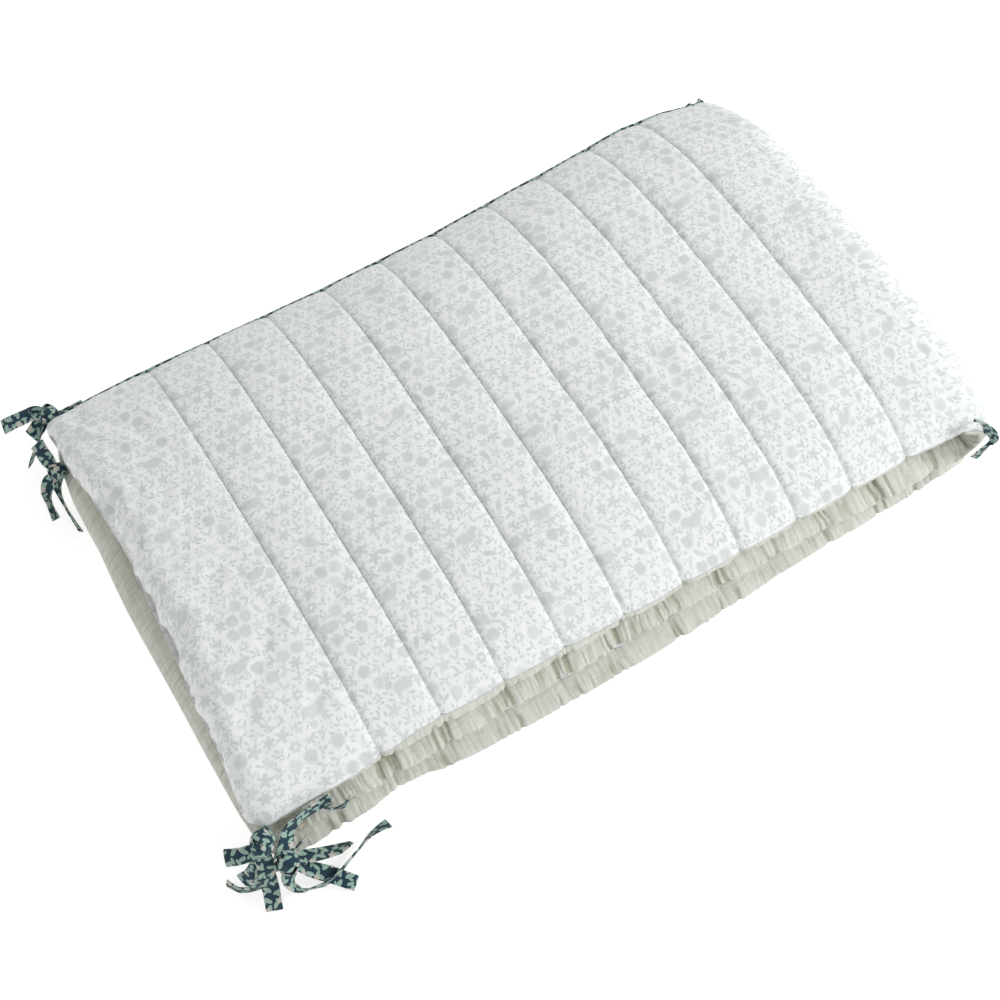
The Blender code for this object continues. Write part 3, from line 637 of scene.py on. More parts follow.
# the outlines waver a little, as on a crinkled thin cloth
WAVER = 2.4  # millimetres
waver = node(tree, "TexNoise", {0: print_in.outputs[0], 2: 230.0, 3: 2.0}).outputs[1]
waver = vectors(tree, "SUBTRACT", waver, (0.5, 0.5, 0.5))
waver = vectors(tree, "MULTIPLY", waver, (WAVER, WAVER, 0.0))
print_spot = vectors(tree, "ADD", print_spot, waver)
animal_spot, animal_chance = scatter(
    tree, print_spot, cell=(57.0, 52.0), jitter=(26.0, 16.0), turn=0.16, seed=3.0)
animals = choose(tree, animal_chance[2], [ovals(tree, animal_spot, rows) for rows in (HARE, LAMB, BIRD)])
# the common motifs: one in each cell, some kinds more often than others
motif_spot, motif_chance = scatter(
    tree, print_spot, cell=(9.4, 8.8), jitter=(2.4, 2.2), turn=1.9, seed=17.0)
MOTIF_SIZE = 1.16
motif_spot = vectors(tree, "DIVIDE", motif_spot, (MOTIF_SIZE, MOTIF_SIZE, 1.0))
blossom = petals(tree, motif_spot, radius=3.9, count=9, depth=0.12)
star = petals(tree, motif_spot, radius=4.5, count=5, depth=0.60)
six_star = petals(tree, motif_spot, radius=4.1, count=6, depth=0.52)
ring = petals(tree, motif_spot, radius=3.2, count=6, depth=0.30)
ring_hole = maths(tree, "SUBTRACT", 2.0, from_middle_of(tree, motif_spot))
ring_bloom = maths(tree, "MAXIMUM", ring, ring_hole)
sprig, broad_leaf, two_leaves, three_leaves, strokes, berries = [
    ovals(tree, motif_spot, rows)
    for rows in (SPRIG, BROAD_LEAF, TWO_LEAVES, THREE_LEAVES, STROKES, BERRIES)]
motifs = choose(tree, motif_chance[2], [
    two_leaves, blossom, three_leaves, star, sprig, two_leaves, strokes, broad_leaf, blossom,
    three_leaves, six_star, two_leaves, ring_bloom, strokes, star, berries])
filler_spot, _ = scatter(
    tree, print_spot, cell=(5.3, 4.9), jitter=(2.0, 1.8), turn=3.1, seed=29.0)
fillers = ovals(tree, filler_spot, TINY_LEAF)
DYE_END = 1.26
DYE_EDGE = 1.9


def inked(tree, shape):
    """Mask of a shape with slightly soft edges, where the dye has spread into the cloth.

    The dye ends at DYE_END of the shape's own measure, and DYE_EDGE is how sharply.
    """
    return maths(tree, "MULTIPLY", maths(tree, "SUBTRACT", DYE_END, shape), DYE_EDGE, clamp=True)


# each motif takes the dye more or less, and a bare rim parts the small ones from the large
ANIMAL_RIM = 1.34  # in the shapes' own measure, in which an outline is 1
MOTIF_RIM = 1.70
clear_of_animals = maths(tree, "GREATER_THAN", animals, ANIMAL_RIM)
clear_of_motifs = maths(tree, "GREATER_THAN", motifs, MOTIF_RIM)
motif_strength = maths(tree, "MULTIPLY_ADD", motif_chance[1], 0.45, 0.72)
motif_mask = maths(tree, "MULTIPLY", inked(tree, motifs), motif_strength)
motif_mask = maths(tree, "MULTIPLY", motif_mask, clear_of_animals)
clear_of_both = maths(tree, "MULTIPLY", clear_of_animals, clear_of_motifs)
filler_mask = maths(tree, "MULTIPLY", inked(tree, fillers), clear_of_both)
print_mask = maths(tree, "MAXIMUM", inked(tree, animals), maths(tree, "MAXIMUM", motif_mask, filler_mask))
tree.links.new(print_mask, print_out.inputs[0])
print_group = tree

WHITE = (0.842, 0.864, 0.862, 1.0)
PRINT = (0.630, 0.677, 0.665, 1.0)
STITCHES = (0.48, 0.55, 0.53, 1.0)
STITCH_PITCH = 0.0032

white_cotton, tree, shader, cloth_place = cloth_material(
    "white_cotton", roughness=0.92, sheen=0.12, shine=0.22)
printed = use_group(tree, print_group, Cloth_place=cloth_place)[0]
mottle = noise(tree, cloth_place, 38.0, 3.0)
ink = maths(tree, "MULTIPLY", printed, maths(tree, "MULTIPLY_ADD", mottle, 0.3, 0.78))
cotton_colour = colour_mix(tree, ink, WHITE, PRINT)
# the stitched line: a thin darker thread line, broken at every stitch
gap = node(tree, "Attribute", attribute_name="stitch_gap").outputs[2]
stitch_wave = node(tree, "SeparateXYZ", {0: cloth_place}).outputs[1]
stitch_wave = maths(tree, "SINE", maths(tree, "MULTIPLY", stitch_wave, 2 * math.pi / STITCH_PITCH))
in_line = maths(tree, "SUBTRACT", 1.0, maths(tree, "DIVIDE", gap, STITCH_LINE), clamp=True)
stitch = maths(tree, "MULTIPLY", in_line, maths(tree, "MULTIPLY_ADD", stitch_wave, 0.22, 0.45))
cotton_colour = colour_mix(tree, stitch, cotton_colour, STITCHES)
tree.links.new(cotton_colour, shader.inputs["Base Color"])
weave = use_group(tree, weave_group, Cloth_place=cloth_place, Thread_pitch=0.00045)[0]
threads = bump(tree, 0.35, 0.00012, weave)
wrinkles = bump(tree, 0.7, 0.0007, noise(tree, cloth_place, 230.0, 2.0), threads)
crumples = bump(tree, 0.7, 0.0013, noise(tree, cloth_place, 95.0, 2.0), wrinkles)
tree.links.new(crumples, shader.inputs["Normal"])

front_cloth = add_piece(front_mesh, white_cotton)
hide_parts("front_panel")

# ---- Gauze back panel ----
# Crinkled sage double gauze, gathered into the long edges, which it wraps in small
# folds.  The piece is the cloth with the lower half of the padding inside it.
RIM_TURN = math.radians(58)  # how far the wrapped edge goes round under the strip
END_RECESS = 0.003  # how far it stays back under the printed panel's free end
wrap_steps = np.linspace(0.0, 1.0, 16)
under_steps = np.linspace(1.0, -1.0, 13)[1:-1]


def lower_outline(s):
    """Outer line of the gauze at lengths s: from the near seam round under to the far seam."""
    return outline(s, -1, -RIM_TURN, wrap_steps, -np.cos(RIM_TURN) ** RIM_POWER * under_steps + 0 * s)


# deep folds of the gauze beside the stitched seams: a few for each seam, at uneven places
fold_chance = np.random.default_rng(31)
FOLD_COUNT = 4
fold_s = (SEAM_S[:, None] + fold_chance.uniform(-0.010, 0.010, (len(SEAM_S), FOLD_COUNT))).ravel()
fold_deep = fold_chance.uniform(0.0004, 0.0019, fold_s.shape)
fold_wide = fold_chance.uniform(0.0009, 0.0018, fold_s.shape)
# and one near the left corner, where the bottom layer is pushed together
CORNER_FOLD = {"s": FOLD_2_END + 0.025, "deep": 0.0035, "wide": 0.0022}


def deep_folds(s):
    """Sum of narrow valleys across the strip, each a bell about its own place."""
    depth = CORNER_FOLD["deep"] * np.exp(-((s - CORNER_FOLD["s"]) / CORNER_FOLD["wide"]) ** 2)
    for middle, deep, wide in zip(fold_s, fold_deep, fold_wide):
        depth = depth + deep * np.exp(-((s - middle) / wide) ** 2)
    return depth


TOP_CALM = 0.60  # the top layer's rim is pulled smoother
LOW_CALM = 0.55  # and so is the bottom layer's
GATHERS_FROM = 0.115  # distance from the middle line where the gathers set in
GATHERS_OVER = 0.040  # and the length over which they reach their full height
FOLD_MARGIN = 0.004  # how far beside the left fold its own gathers reach
FOLD_GATHERS = (0.35, 0.45)  # their share all over it, and how much the rim adds
FOLD_DEEP = 0.3  # share of the deep folds in the left fold


def gauze_relief(s, u, v):
    """How far the gauze stands off its plain shape: small gathers across the strip.

    Rounded ridges of uneven width run round the edge with sharp valleys between them,
    deeper at the rims than underneath.  Each seam has a few deep folds beside it.  The
    sizes of the soft noise are what s and v are divided by.
    """
    rim = np.clip((np.abs(u) - GATHERS_FROM) / GATHERS_OVER, 0.0, 1.0)
    in_fold = (s > MIDDLE_END - FOLD_MARGIN) & (s < FOLD_2_END + FOLD_MARGIN)
    rim = np.where(in_fold, FOLD_GATHERS[0] + FOLD_GATHERS[1] * rim, rim)
    bent = s + 0.0016 * soft_noise(v / 0.0070, s / 0.013, 25)
    ridges = 2.4 * np.abs(soft_noise(bent / 0.0030, v / 0.014, 21)) - 0.8
    narrow = 2.4 * np.abs(soft_noise(bent / 0.0018, v / 0.009, 24)) - 0.8
    broad = soft_noise(bent / 0.0085, v / 0.040, 22)
    fade = 0.80 + 0.50 * soft_noise(s / 0.024, v / 0.020, 23)
    even = 0.00062 * ridges + 0.00030 * narrow + 0.0006 * broad
    calm = np.where(s > FOLD_2_END, LOW_CALM, np.where(s < TOP_END, TOP_CALM, 1.0))
    return rim * calm * (even * fade - deep_folds(bent) * np.where(in_fold, FOLD_DEEP, 1.0))


def gauze_step(s):
    """Distance of the cross-sections: coarse in the top layer and its fold, fine below them."""
    return 0.0026 if s < FOLD_1_END else 0.00070


back_s = stations(fine=0.00070, coarse=gauze_step, seam_band=0.004)[:, None]
back_outer = lower_outline(back_s)
back_place_s = back_s + END_RECESS * (1.0 - quarter_round(back_s, 3 * END_RECESS)) * (back_s < TOP_END)
relief = gauze_relief(back_s, back_outer[0], back_outer[4])
back_mesh, lift = panel("back_cloth", back_s, back_place_s, back_outer, relief,
                        still_columns=2.0, gap=-PANEL_GAP / 2, flip=-1)
# painted shade: where the left fold goes in under the top layer's end, its gauze is coloured darker, as in
# the shadow of that end; this only lowers the stored valley reading and leaves the shape alone
UNDER_END_SHADE = {"deep": 0.0009, "reach": 0.014}
under_end_shade = UNDER_END_SHADE["deep"] * np.exp(-((back_s - MIDDLE_END) / UNDER_END_SHADE["reach"]) ** 2)
# painted shade: the relief in millimetres, less the term above, is stored for the gauze colour, which
# darkens where it is low, as shade in the valleys of the gathers
valley_shade = np.pad(lift - under_end_shade, ((0, 0), (0, len(SHEET_SHARES))))[:, ::-1]
ring_values(back_mesh, "valley_shade", valley_shade * 1000.0)
# round the left fold the ribs of the gauze that run with the strip show more: their bump is deeper there,
# and the painted shade along them is stronger
from_middle = np.abs(back_s - (MIDDLE_END + FOLD_2_END) / 2) / (FOLD_2_END - MIDDLE_END)
ring_values(back_mesh, "fold_ribs", np.clip(1.6 - 2.4 * from_middle, 0.0, 1.0))

# crinkles: long narrow ridges across the strip, uneven in width, with cross threads
tree, crinkle_in, crinkle_out = group(
    "crinkles", [("Cloth place", "Vector"), ("Pitch", "Float")], [("Height", "Float")])
crinkle_place = vectors(tree, "DIVIDE", crinkle_in.outputs[0], crinkle_in.outputs[1])
crinkle_long = vectors(tree, "MULTIPLY", crinkle_place, (1.0, 0.10, 0.0))
crinkle_height = node(tree, "TexNoise", {0: crinkle_long, 2: 0.9, 3: 2.0, 4: 0.55}).outputs[0]
tree.links.new(crinkle_height, crinkle_out.inputs[0])
crinkle_group = tree

# the second of these colours is painted shade: what the gauze turns towards in the valleys of its relief,
# in its crinkles and along its ribs; the third is its own uneven tone
GAUZE_LIGHT = (0.70, 0.71, 0.655, 1.0)
GAUZE_SHADE = (0.30, 0.30, 0.21, 1.0)
GAUZE_TINT = (0.66, 0.65, 0.58, 1.0)

sage_gauze, tree, shader, cloth_place = cloth_material(
    "sage_gauze", roughness=0.95, sheen=0.18, shine=0.15)
crinkles = use_group(tree, crinkle_group, Cloth_place=cloth_place, Pitch=0.0030)[0]
crossways = node(tree, "VectorRotate", {0: cloth_place, 3: math.pi / 2}, rotation_type="Z_AXIS").outputs[0]
cross_crinkles = use_group(tree, crinkle_group, Cloth_place=crossways, Pitch=0.0021)[0]
valley_shade = node(tree, "Attribute", attribute_name="valley_shade").outputs[2]
fold_ribs = node(tree, "Attribute", attribute_name="fold_ribs").outputs[2]
# painted shade: the gauze is coloured darker where the valley reading is low, in the low lines of the
# crinkles, and along the cross crinkles round the left fold, as shade in these hollows
deep = maths(tree, "MULTIPLY_ADD", valley_shade, -0.75, 0.05, clamp=True)
deep = maths(tree, "ADD", deep, maths(tree, "MULTIPLY_ADD", crinkles, -0.9, 0.50, clamp=True), clamp=True)
rib_shade = maths(tree, "MULTIPLY_ADD", cross_crinkles, -2.6, 1.30, clamp=True)
rib_shade = maths(tree, "MULTIPLY", rib_shade, maths(tree, "MULTIPLY", fold_ribs, 0.55))
deep = maths(tree, "ADD", deep, rib_shade, clamp=True)
gauze_colour = colour_mix(tree, maths(tree, "MULTIPLY", deep, 0.8), GAUZE_LIGHT, GAUZE_SHADE)
tint = maths(tree, "MULTIPLY_ADD", noise(tree, cloth_place, 55.0, 3.0), 0.5, -0.1, clamp=True)
gauze_colour = colour_mix(tree, tint, gauze_colour, GAUZE_TINT)
tree.links.new(gauze_colour, shader.inputs["Base Color"])
weave = use_group(tree, weave_group, Cloth_place=cloth_place, Thread_pitch=0.0007)[0]
threads = bump(tree, 0.5, 0.00025, weave)
rib_depth = maths(tree, "MULTIPLY_ADD", fold_ribs, 0.0026, 0.0012)
cross_ridges = bump(tree, 0.8, rib_depth, cross_crinkles, threads)
tree.links.new(bump(tree, 0.9, 0.0011, crinkles, cross_ridges), shader.inputs["Normal"])

back_cloth = add_piece(back_mesh, sage_gauze)
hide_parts("back_panel")

# ---- Piping ----
# A cord wrapped in navy floral cotton, sewn between the two panels along the long
# edge that lies at the back.
PIPING_RADIUS = 0.0013
PIPING_OUT = 0.0016  # how far its middle stands out from the panel seam
PIPING_DOWN = 0.0022  # and how far below the middle sheet it is
PIPING_STIFF = 0.8  # share of each notch that the cord bridges
PIPING_SIDES = 10
piping_s = stations(fine=0.0020, coarse=lambda s: 0.0036, seam_band=0.004)[3:-3, None]
bridged = PIPING_STIFF * by_layer(piping_s, NOTCH_PULL) * seam_pull(piping_s)
piping_u = half_width(piping_s) + bridged + PIPING_OUT
piping_angle = 2 * math.pi * np.arange(PIPING_SIDES) / PIPING_SIDES
piping_centre = place(piping_s, piping_u, 0 * piping_u - PIPING_DOWN)
_, _, piping_dx, piping_dz = route(piping_s)
piping_up = np.stack([-piping_dz, 0 * piping_dz, piping_dx], axis=-1)
sideways, upwards = np.cos(piping_angle)[:, None], np.sin(piping_angle)[:, None]
piping_rings = piping_centre + PIPING_RADIUS * sideways * np.array((0.0, 1.0, 0.0))
piping_rings = piping_rings + PIPING_RADIUS * upwards * piping_up + np.array(MOVE)
piping_mesh = ring_mesh("piping_cloth", [(piping_rings, piping_s, piping_angle * PIPING_RADIUS)])

# the navy cloth's own print: pale green leaves and a few beige flowers, close together
tree, floral_in, floral_out = group(
    "leafy print", [("Cloth place", "Vector")], [("Leaves", "Float"), ("Flowers", "Float")])
floral_spot = vectors(tree, "MULTIPLY", floral_in.outputs[0], TO_MILLIMETRES)
LEAF_PAIR = [(1.6, 1.0, 2.9, 1.35, 40), (-1.6, -0.9, 2.5, 1.15, 130)]
LONG_LEAF = [(0.0, 0.0, 3.6, 1.55, 70), (2.2, -1.4, 1.8, 0.85, 20)]
leaf_spot, leaf_chance = scatter(
    tree, floral_spot, cell=(7.6, 7.0), jitter=(2.4, 2.4), turn=3.1, seed=41.0)
leaves = choose(tree, leaf_chance[2], [
    ovals(tree, leaf_spot, LEAF_PAIR), ovals(tree, leaf_spot, LONG_LEAF)])
flower_spot, _ = scatter(
    tree, floral_spot, cell=(12.5, 11.5), jitter=(4.5, 4.5), turn=3.1, seed=53.0)
flowers = petals(tree, flower_spot, radius=2.6, count=5, depth=0.35)
flower_mask = maths(tree, "LESS_THAN", flowers, 1.0)
leaf_mask = maths(tree, "MULTIPLY", maths(tree, "LESS_THAN", leaves, 1.0),
                  maths(tree, "SUBTRACT", 1.0, flower_mask))
tree.links.new(leaf_mask, floral_out.inputs[0])
tree.links.new(flower_mask, floral_out.inputs[1])
floral_group = tree

NAVY = (0.015, 0.046, 0.068, 1.0)
LEAF_GREEN = (0.31, 0.45, 0.385, 1.0)
FLOWER_BEIGE = (0.54, 0.52, 0.46, 1.0)

navy_floral, tree, shader, cloth_place = cloth_material(
    "navy_floral", roughness=0.85, sheen=0.15, shine=0.25)
leafy = use_group(tree, floral_group, Cloth_place=cloth_place)
floral_colour = colour_mix(tree, leafy[0], NAVY, LEAF_GREEN)
floral_colour = colour_mix(tree, leafy[1], floral_colour, FLOWER_BEIGE)
tree.links.new(floral_colour, shader.inputs["Base Color"])
weave = use_group(tree, weave_group, Cloth_place=cloth_place, Thread_pitch=0.00040)[0]
tree.links.new(bump(tree, 0.4, 0.00012, weave), shader.inputs["Normal"])

piping_cloth = add_piece(piping_mesh, navy_floral)
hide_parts("piping")

# ---- Ties ----
# Flat strips of the same navy floral cotton, folded double and stitched, which tie the
# bumper to the bars.  They are sewn into both long edges at the ends and at the folds.
TIE_WIDTH = 0.0110
TIE_THICK = 0.0014
TIE_LIFT = 0.001  # least height above the floor
TIE_CUP = 0.0010  # how far a strip's edges curl up beside its middle
CUP_LENGTH = 0.016  # over what length that varies
WIDTH_VARY = {"share": 0.05, "length": 0.012}  # how much the width varies, and over what length
NECK_REACH = 0.013  # a strip narrows towards its knot over this length
NECK_WIDTH = 0.50  # to this share,
NECK_CUP = 0.8  # and curls up more there, by this share of TIE_CUP
PRINT_SHIFT = 0.05  # each strip is cut from another place of the print
KNOT_RADII = (0.0070, 0.0064, 0.0062)
KNOT_REACHES = (0.0064, 0.0072)  # how far out the two wraps of a knot lie
WRAP_TURNS = 1.06  # turns of a wrap, so that its ends overlap
WRAP_RISE = 0.0004  # how far it moves along its axis for each radian
KNOT_TIP = 0.12  # angle from the tips of the lump at which its rings begin
KNOT_CLOTH = (0.005, 0.004)  # metres of cloth for each radian along and round the lump
# each tie: its knot's place, how large it is, and its strips' routes, as rows of x, y, z in
# millimetres and tilt in degrees
TIES = {
    "tie_end_a_front": {"knot": (-321, -173, 49), "scale": 1.0, "strips": {
        "root": [(-321, -173, 49, 30), (-317, -170, 52, 30), (-314, -168.5, 56, 20)],
        "stub": [(-321, -173, 49, 20), (-328, -173, 44, 25), (-337, -170, 40, 30), (-345, -165, 36, 30)],
        "left": [(-321, -173, 49, 20), (-328, -178, 34, 25), (-335, -179, 22, 35), (-342, -177, 13, 40)],
        "curl": [(-323, -176, 42, 30), (-331, -184, 21, 60), (-337, -183, 7, 85), (-346, -179, 5, 85),
                 (-351, -171, 5, 80)],
        "down": [(-321, -173, 49, 0), (-326.5, -184, 31, 15), (-329, -191, 14, 5), (-333, -201, 3, 0)],
    }},
    "tie_left_fold_front": {"knot": (-313, -187, 35), "scale": 1.0, "strips": {
        "right": [(-313, -187, 35, 0), (-303, -187, 27, 15), (-292, -189, 21, 25), (-281, -191, 17, 30),
                  (-271, -191, 15, 60)],
        "root": [(-313, -187, 35, 60), (-304, -182, 34, 75), (-296, -179, 33, 80)],
        "along": [(-313, -185, 39, -20), (-304, -174, 47, -60), (-295, -171, 50, -80),
                  (-286, -170, 50, -82), (-278, -169.5, 49, -75), (-271, -169.5, 48, -70)],
        "hook": [(-277.5, -170.5, 46, 60), (-271, -174.5, 42, 75), (-264, -175, 40, 85),
                 (-259, -172.5, 39.5, 80)],
        "wide": [(-313, -187, 35, 0), (-308, -188, 26, 5), (-302, -192, 15, 10), (-291, -201, 7, 0),
                 (-280, -213, 3, 5)],
        "thin": [(-313, -187, 35, 20), (-316, -195, 19, 30), (-312, -200, 10, 60), (-307, -202, 8, 75),
                 (-298, -204, 8, 85), (-288, -203, 8, 85), (-278, -199, 8, 80), (-267, -195, 8, 75),
                 (-256, -191, 7, 60), (-243, -190, 6, 35)],
    }},
    "tie_end_a_back": {"knot": (-304, 178.6, 42), "scale": 0.72, "strips": {
        "root": [(-304, 178.6, 42, 40), (-298, 177.5, 42, 60), (-290, 175.5, 42.5, 80),
                 (-280, 174.6, 43, 85)],
        "tail": [(-304, 178.6, 42, 0), (-314, 185, 43, 5), (-324, 188, 40, 10), (-336, 190.5, 36, 10)],
        "loop_out": [(-304, 178.6, 42, 60), (-309, 184, 45, 75), (-315, 187, 44, 90)],
        "loop_back": [(-315, 187, 43, 80), (-313, 181, 40, 70), (-305, 179, 40, 60)],
        "short": [(-304, 178.6, 42, 30), (-312, 178, 38, 20), (-322, 175.5, 33, 10)],
        "string": [(-304, 178.6, 42, 80), (-312, 174.5, 38, 100), (-319, 170.5, 31, 115),
                   (-326, 168, 22, 118), (-331, 166.5, 14, 120)],
    }},
    "tie_left_fold_back": {"knot": (-318, 135.5, 41), "scale": 0.65, "strips": {
        "root": [(-318, 135.5, 41, 60), (-319, 146, 36, 80), (-318.5, 154, 31, 85)],
        "tail": [(-318, 135.5, 41, 20), (-321, 149, 43, 30), (-321.5, 161, 44, 25)],
        "loop": [(-318, 135.5, 41, 40), (-327, 136.5, 29, 60), (-332, 133, 17, 75), (-334, 121, 8, 60)],
        "low": [(-318, 135.5, 41, 65), (-323, 131, 26, 80), (-324.5, 122, 13, 85), (-323, 104, 7, 75)],
    }},
    "tie_right_fold_front": {"strips": {
        "along": [(234, -169, 66, 50), (238.5, -175.5, 66, 65), (242.5, -180.5, 58, 80),
                  (243, -182, 48, 90), (239, -182.5, 40, 85), (233, -182.5, 34, 80)],
    }},
    "tie_right_fold_back": {"strips": {
        "long": [(240, 175.5, 33, 90), (237, 178, 26, 90), (229, 183, 16, 90), (218, 184.5, 8, 90),
                 (200, 184.5, 7, 90)],
        "short": [(242, 176, 32, 85), (247, 180, 25, 90), (251, 183, 17, 90), (259, 183, 8, 90)],
    }},
}
TUCKED = [(252, 158, 8, 90), (254, 135, 8, 90), (252, 105, 8, 90), (255, 75, 8, 90), (253, 45, 8, 90)]
for end, side in (("front", -1), ("back", 1)):
    TIES["tie_end_b_" + end] = {"strips": {"tucked": [(x, side * y, z, tilt) for x, y, z, tilt in TUCKED]}}
# a strip's flat outline with rounded edges, from -1 to 1 each way
STRIP_SIDES = 16
EDGE_ROUND = 0.55
strip_turn = 2 * math.pi * np.arange(STRIP_SIDES) / STRIP_SIDES
STRIP_ACROSS = np.sign(np.cos(strip_turn)) * np.abs(np.cos(strip_turn)) ** EDGE_ROUND
STRIP_THROUGH = np.sin(strip_turn)


def smooth_route(rows, steps=7):
    """Points on the smooth curve through the route points (a Catmull-Rom spline), with their tilt."""
    rows = np.array(rows, dtype=float) * (0.001, 0.001, 0.001, 1.0)
    padded = np.vstack([2 * rows[0] - rows[1], rows, 2 * rows[-1] - rows[-2]])
    before, start, end, after = (padded[k:len(padded) - 3 + k, None] for k in range(4))
    t = (np.arange(steps) / steps)[:, None]
    curve = 0.5 * (2 * start + (end - before) * t + (2 * before - 5 * start + 4 * end - after) * t ** 2
                   + (3 * start - before - 3 * end + after) * t ** 3)
    return np.vstack([curve.reshape(-1, 4), rows[-1:]])


def lengths_along(points):
    """Distance of each point from the first, along the line through them."""
    return np.concatenate([[0.0], np.cumsum(np.linalg.norm(np.diff(points, axis=0), axis=1))])


def strip_part(centres, across, through, width, cup, run, seed):
    """A flat strip as a part of a mesh: its outline carried along, its edges curled up by `cup`."""
    across = across[:, None] * (width[:, None, None] / 2)
    rise = STRIP_THROUGH * TIE_THICK / 2 + cup[:, None] * (STRIP_ACROSS ** 2 - 0.5)
    rings = centres[:, None] + across * STRIP_ACROSS[:, None] + through[:, None] * rise[..., None]
    return rings, run[:, None] + PRINT_SHIFT * seed, STRIP_ACROSS * width[:, None] / 2


def tie_strip(rows, seed, necked):
    """One strip of a tie along its route, turned by its tilt about its own line.

    It narrows towards its knot if it leaves one, and its edges curl and its width
    vary a little.
    """
    curve = smooth_route(rows)
    centres = curve[:, :3]
    along = np.gradient(centres, axis=0)
    along /= np.linalg.norm(along, axis=1, keepdims=True)
    side = np.cross(along, (0.0, 0.0, 1.0))
    side /= np.linalg.norm(side, axis=1, keepdims=True)
    tilt = np.radians(curve[:, 3:])
    across = np.cos(tilt) * side + np.sin(tilt) * np.cross(side, along)
    through = np.cross(across, along)
    run = lengths_along(centres)
    share = np.clip(run / NECK_REACH, 0.0, 1.0)
    neck = NECK_WIDTH + (1.0 - NECK_WIDTH) * share ** 2 * (3 - 2 * share) if necked else 1.0 + 0.0 * run
    uneven = soft_noise(run / WIDTH_VARY["length"], run * 0.0 + seed, 61)
    width = TIE_WIDTH * neck * (1.0 + WIDTH_VARY["share"] * uneven)
    cup = soft_noise(run / CUP_LENGTH, run * 0.0 + seed, 62) + NECK_CUP * (1.0 - share if necked else 0.0)
    cup = TIE_CUP * cup
    lowest = np.abs(across[:, 2]) * width / 2 + np.abs(through[:, 2]) * (TIE_THICK / 2 + np.abs(cup))
    centres = np.column_stack([centres[:, :2], np.maximum(centres[:, 2], TIE_LIFT + lowest)])
    return strip_part(centres, across, through, width, cup, run, seed)


def knot_wrap(centre, axis, reach, seed):
    """One turn of a strip round a knot: an oval spiral about `axis`, its ends overlapping.

    It swells a little as it turns, and its width and curl vary with sines of the turn.
    """
    axis = np.array(axis, dtype=float) / np.linalg.norm(axis)
    first = np.cross(axis, (0.3, 0.9, 0.2))
    first /= np.linalg.norm(first)
    second = np.cross(axis, first)
    turn = np.linspace(0.0, 2 * math.pi * WRAP_TURNS, 30)[:, None]
    outward = np.cos(turn) * first + np.sin(turn) * second
    swell = 1.0 + 0.05 * turn / math.pi + 0.10 * np.sin(2 * turn + seed)
    centres = np.array(centre) + reach * swell * outward + axis * (turn - math.pi) * WRAP_RISE
    run = lengths_along(centres)
    width = TIE_WIDTH * (0.86 + 0.10 * np.sin(turn[:, 0] * 2 + seed))
    cup = -TIE_CUP * (0.7 + 0.3 * np.cos(turn[:, 0] + seed))
    return strip_part(centres, axis + 0 * outward, outward, width, cup, run, seed)


def knot_core(centre, scale):
    """The lump inside a knot: a small egg as rings about its long axis."""
    down = np.linspace(KNOT_TIP, math.pi - KNOT_TIP, 9)[:, None]
    round_it = 2 * math.pi * np.arange(12) / 12
    ring = np.stack([np.sin(down) * np.cos(round_it), np.sin(down) * np.sin(round_it),
                     -np.cos(down) + 0 * round_it], axis=-1)
    rings = np.array(centre) + ring * np.array(KNOT_RADII) * scale
    return rings, down * KNOT_CLOTH[0], round_it * KNOT_CLOTH[1]


# what each knot's two wraps turn about
KNOT_AXES = {
    "tie_end_a_front": [(0.35, 0.55, 0.75), (0.9, 0.35, -0.25)],
    "tie_left_fold_front": [(0.75, -0.55, -0.35), (-0.25, -0.6, 0.75)],
    "tie_end_a_back": [(0.9, -0.25, 0.3), (-0.3, 0.3, 0.9)],
    "tie_left_fold_back": [(0.1, 0.75, 0.65), (0.7, 0.3, -0.6)],
}
for number, (name, plan) in enumerate(TIES.items()):
    parts = [tie_strip(rows, 7 * number + k, rows[0][:3] == plan.get("knot"))
             for k, rows in enumerate(plan["strips"].values())]
    if "knot" in plan:
        knot_place = np.array(plan["knot"]) / 1000.0
        parts += [knot_wrap(knot_place, axis, reach * plan["scale"], number + 3 * k)
                  for k, (axis, reach) in enumerate(zip(KNOT_AXES[name], KNOT_REACHES))]
        parts.append(knot_core(knot_place, plan["scale"]))
    parts = [(rings + np.array(MOVE), along, across) for rings, along, across in parts]
    tie_cloth = add_piece(ring_mesh(name + "_cloth", parts), navy_floral)
    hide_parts(name)

# ---- Studio ----
# A plain pale lit floor under soft light: a pale sky, and a big lamp at the upper right.
FLOOR_REACH = 6.0
FLOOR_GREY = (0.60, 0.60, 0.60, 1.0)
FLOOR_GLOW = 0.66  # the floor is lit evenly, as by light through it
SKY = (1.0, 0.995, 0.99, 1.0)
SKY_LIGHT = 0.66
LAMP_FROM = Vector((1.9, -1.0, 1.60))
LAMP_SIZE = 1.0
LAMP_POWER = 36.0

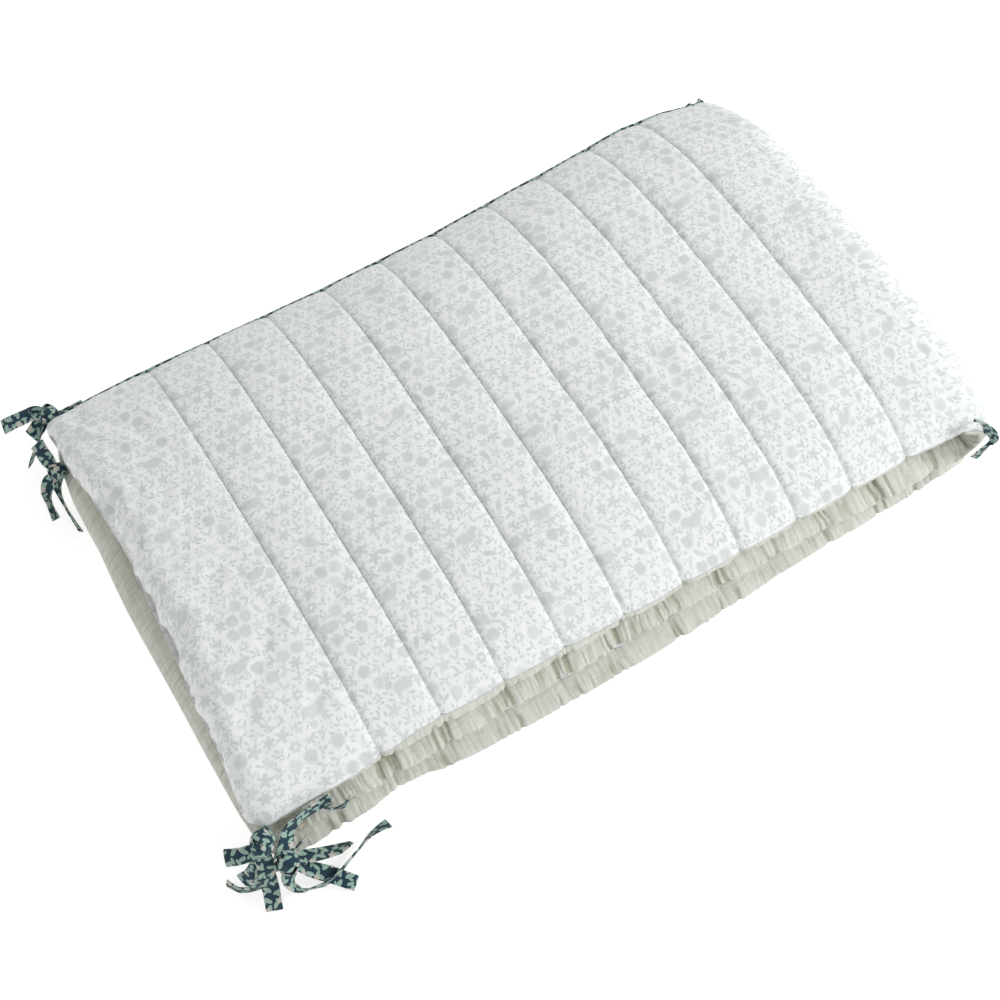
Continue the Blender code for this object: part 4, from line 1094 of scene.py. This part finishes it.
floor_mesh = bpy.data.meshes.new("floor")
floor_corners = [(x * FLOOR_REACH, y * FLOOR_REACH, 0.0) for x, y in ((-1, -1), (1, -1), (1, 1), (-1, 1))]
floor_mesh.from_pydata(floor_corners, [], [(0, 1, 2, 3)])
floor_material = bpy.data.materials.new("pale_floor")
floor_material.use_nodes = True
floor_shader = floor_material.node_tree.nodes["Principled BSDF"]
floor_shader.inputs["Base Color"].default_value = FLOOR_GREY
floor_shader.inputs["Roughness"].default_value = 1.0
floor_shader.inputs["Specular IOR Level"].default_value = 0.0
floor_shader.inputs["Emission Color"].default_value = (1.0, 1.0, 1.0, 1.0)
floor_shader.inputs["Emission Strength"].default_value = FLOOR_GLOW
floor_mesh.materials.append(floor_material)
floor = bpy.data.objects.new("floor", floor_mesh)
bpy.context.scene.collection.objects.link(floor)

sky = bpy.data.worlds.new("pale_sky")
sky.use_nodes = True
sky.node_tree.nodes["Background"].inputs[0].default_value = SKY
sky.node_tree.nodes["Background"].inputs[1].default_value = SKY_LIGHT
bpy.context.scene.world = sky

lamp_data = bpy.data.lights.new("soft_lamp", "AREA")
lamp_data.shape = "DISK"
lamp_data.size = LAMP_SIZE
lamp_data.energy = LAMP_POWER
lamp = bpy.data.objects.new("soft_lamp", lamp_data)
lamp.location = LAMP_FROM
lamp.rotation_euler = LAMP_FROM.to_track_quat("Z", "Y").to_euler()
bpy.context.scene.collection.objects.link(lamp)
bpy.context.scene.view_settings.view_transform = "Standard"

# ---- Camera ----
# At the photograph's angle: looking down from beyond the near left corner.
CAMERA_AZIMUTH = math.radians(-31.3)
CAMERA_ELEVATION = math.radians(63.2)
CAMERA_DISTANCE = 1.190
CAMERA_LENS = 65.52  # millimetres, on a sensor 36 millimetres wide
CAMERA_TARGET = Vector((-0.082, -0.064, 0.092)) + MOVE
camera_back = Vector((math.sin(CAMERA_AZIMUTH) * math.cos(CAMERA_ELEVATION),
                      -math.cos(CAMERA_AZIMUTH) * math.cos(CAMERA_ELEVATION),
                      math.sin(CAMERA_ELEVATION)))
camera_right = Vector((math.cos(CAMERA_AZIMUTH), math.sin(CAMERA_AZIMUTH), 0.0))
camera_up = camera_back.cross(camera_right)
camera_data = bpy.data.cameras.new("camera")
camera_data.sensor_width = 36.0
camera_data.lens = CAMERA_LENS
camera = bpy.data.objects.new("camera", camera_data)
camera.matrix_world = Matrix.Translation(CAMERA_TARGET + CAMERA_DISTANCE * camera_back) @ Matrix(
    (camera_right, camera_up, camera_back)).transposed().to_4x4()
bpy.context.scene.collection.objects.link(camera)
bpy.context.scene.camera = camera
